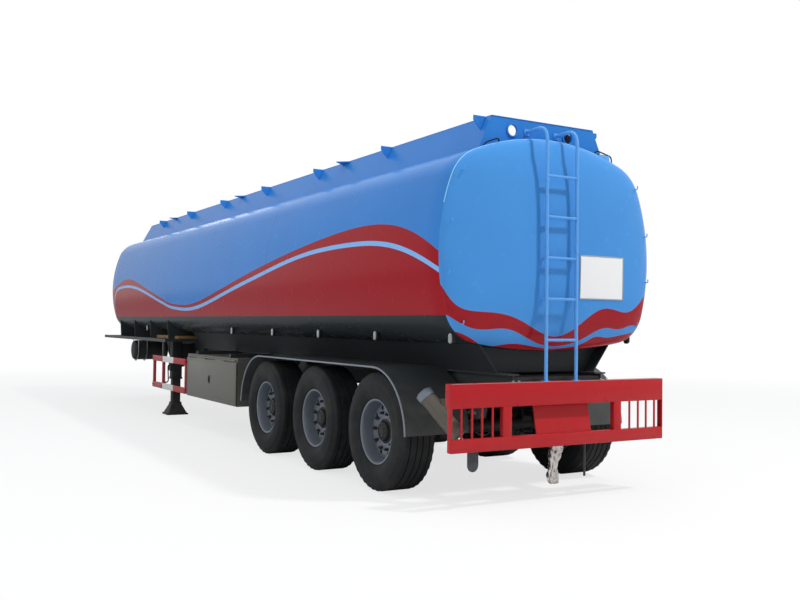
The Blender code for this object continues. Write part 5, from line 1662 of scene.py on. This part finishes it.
@dataclass
class Studio:
    """Camera, floor, lamps and background."""

    eye: tuple = (5.187, 12.153, 1.514)
    yaw: float = 30.447
    pitch: float = 1.528
    roll: float = 0.64
    focal: float = 900.748

    def camera(self) -> None:
        """Place the camera as the photograph's was."""
        yaw, pitch, roll = (math.radians(a) for a in (self.yaw, self.pitch, self.roll))
        ahead = np.array((-math.sin(yaw) * math.cos(pitch), -math.cos(yaw) * math.cos(pitch),
                          math.sin(pitch)))
        right = np.cross(ahead, (0, 0, 1))
        right /= np.linalg.norm(right)
        over = np.cross(right, ahead)
        across = right * math.cos(roll) + over * math.sin(roll)
        above = over * math.cos(roll) - right * math.sin(roll)
        data = bpy.data.cameras.new("view")
        data.sensor_width = 36.0
        data.lens = self.focal / 800 * 36.0
        data.clip_end = 200.0
        obj = bpy.data.objects.new("view", data)
        turn = Matrix((across, above, -ahead)).transposed().to_4x4()
        obj.matrix_world = Matrix.Translation(self.eye) @ turn
        bpy.context.scene.collection.objects.link(obj)
        bpy.context.scene.camera = obj

    def lamp(self, name: str, place: tuple, target: tuple, size: float, power: float,
             colour: tuple, mirrored: bool = False) -> None:
        """Add a soft square lamp that looks at a target, and is seen in paint only if mirrored."""
        data = bpy.data.lights.new(name, "AREA")
        data.size = size
        data.energy = power
        data.color = colour
        obj = bpy.data.objects.new(name, data)
        obj.visible_glossy = mirrored
        aim = (Vector(place) - Vector(target)).to_track_quat("Z", "Y")
        obj.matrix_world = Matrix.Translation(place) @ aim.to_matrix().to_4x4()
        bpy.context.scene.collection.objects.link(obj)

    def floor(self) -> None:
        """Add the pale floor: a matte white that keeps the shadow, brightened for the camera."""
        ends = (-90.0, 90.0)
        mesh = bpy.data.meshes.new("floor")
        mesh.from_pydata([(x, y, -0.0005) for x in ends for y in ends], [], [(0, 2, 3, 1)])
        graph = Graph(bpy.data.materials.new("floor"))
        graph.dress(Base_Color=(0.80, 0.80, 0.80), Roughness=0.9)
        glow = graph.node("ShaderNodeEmission", None, {0: (1.0, 1.0, 1.0)})
        away = graph.node("ShaderNodeVectorMath", {"operation": "LENGTH"}, {0: graph.place})
        reach = graph.node("ShaderNodeMapRange", None,
                           {"Value": away.outputs["Value"], "From Min": 8.0, "From Max": 18.0,
                            "To Min": 0.72, "To Max": 1.0})
        graph.blend(graph.ray("Camera") * reach.outputs["Result"], glow)
        mesh.materials.append(graph.owner)
        obj = bpy.data.objects.new("floor", mesh)
        bpy.context.scene.collection.objects.link(obj)

    def world(self) -> None:
        """Light the scene from all sides, with plain white for what the camera sees."""
        world = bpy.data.worlds.new("studio")
        bpy.context.scene.world = world
        graph = Graph(world)
        graph.dress(Color=(0.90, 0.95, 1.0), Strength=0.50)
        white = graph.node("ShaderNodeBackground", None, {0: (1.0, 1.0, 1.0), 1: 1.0})
        seen = graph.ray("Camera").math_max(graph.ray("Glossy"))
        graph.blend(seen.math_max(graph.ray("Transmission")), white)

    def build(self) -> None:
        """Set up the whole studio."""
        bpy.context.scene.view_settings.view_transform = "Standard"
        self.camera()
        self.floor()
        self.world()
        self.lamp("key", (-6.0, 13.5, 17.0), (0, 5.0, 1.8), 1.3, 2400.0, (1.0, 0.98, 0.94))
        self.lamp("side", (14.0, 6.0, 8.0), (0, 0.0, 1.8), 8.0, 560.0, (0.95, 0.98, 1.0))
        self.lamp("sky", (0.0, 2.0, 18.0), (0, 1.0, 0.0), 16.0, 950.0, (0.95, 0.98, 1.0))
        self.lamp("shine", (-13.5, -60.0, 19.5), (0, 0.0, 3.0), 8.5, 900.0, (1.0, 1.0, 1.0), True)


def main() -> None:
    """Build the trailer's looks piece by piece."""
    Studio().build()
    Tank().build()
    for number, y in MANHOLES.items():
        Manhole().build(number, y)
    for part in (Trough(), WideWheel(), Suspension(), Chassis(), CouplingEnd(), LandingGear(),
                 Mudguard(), SideGuard(), Locker(), Bumper(), TailPieces(), Ladder(), Pipework(),
                 Fittings()):
        part.build()


if __name__ == "__main__":
    main()
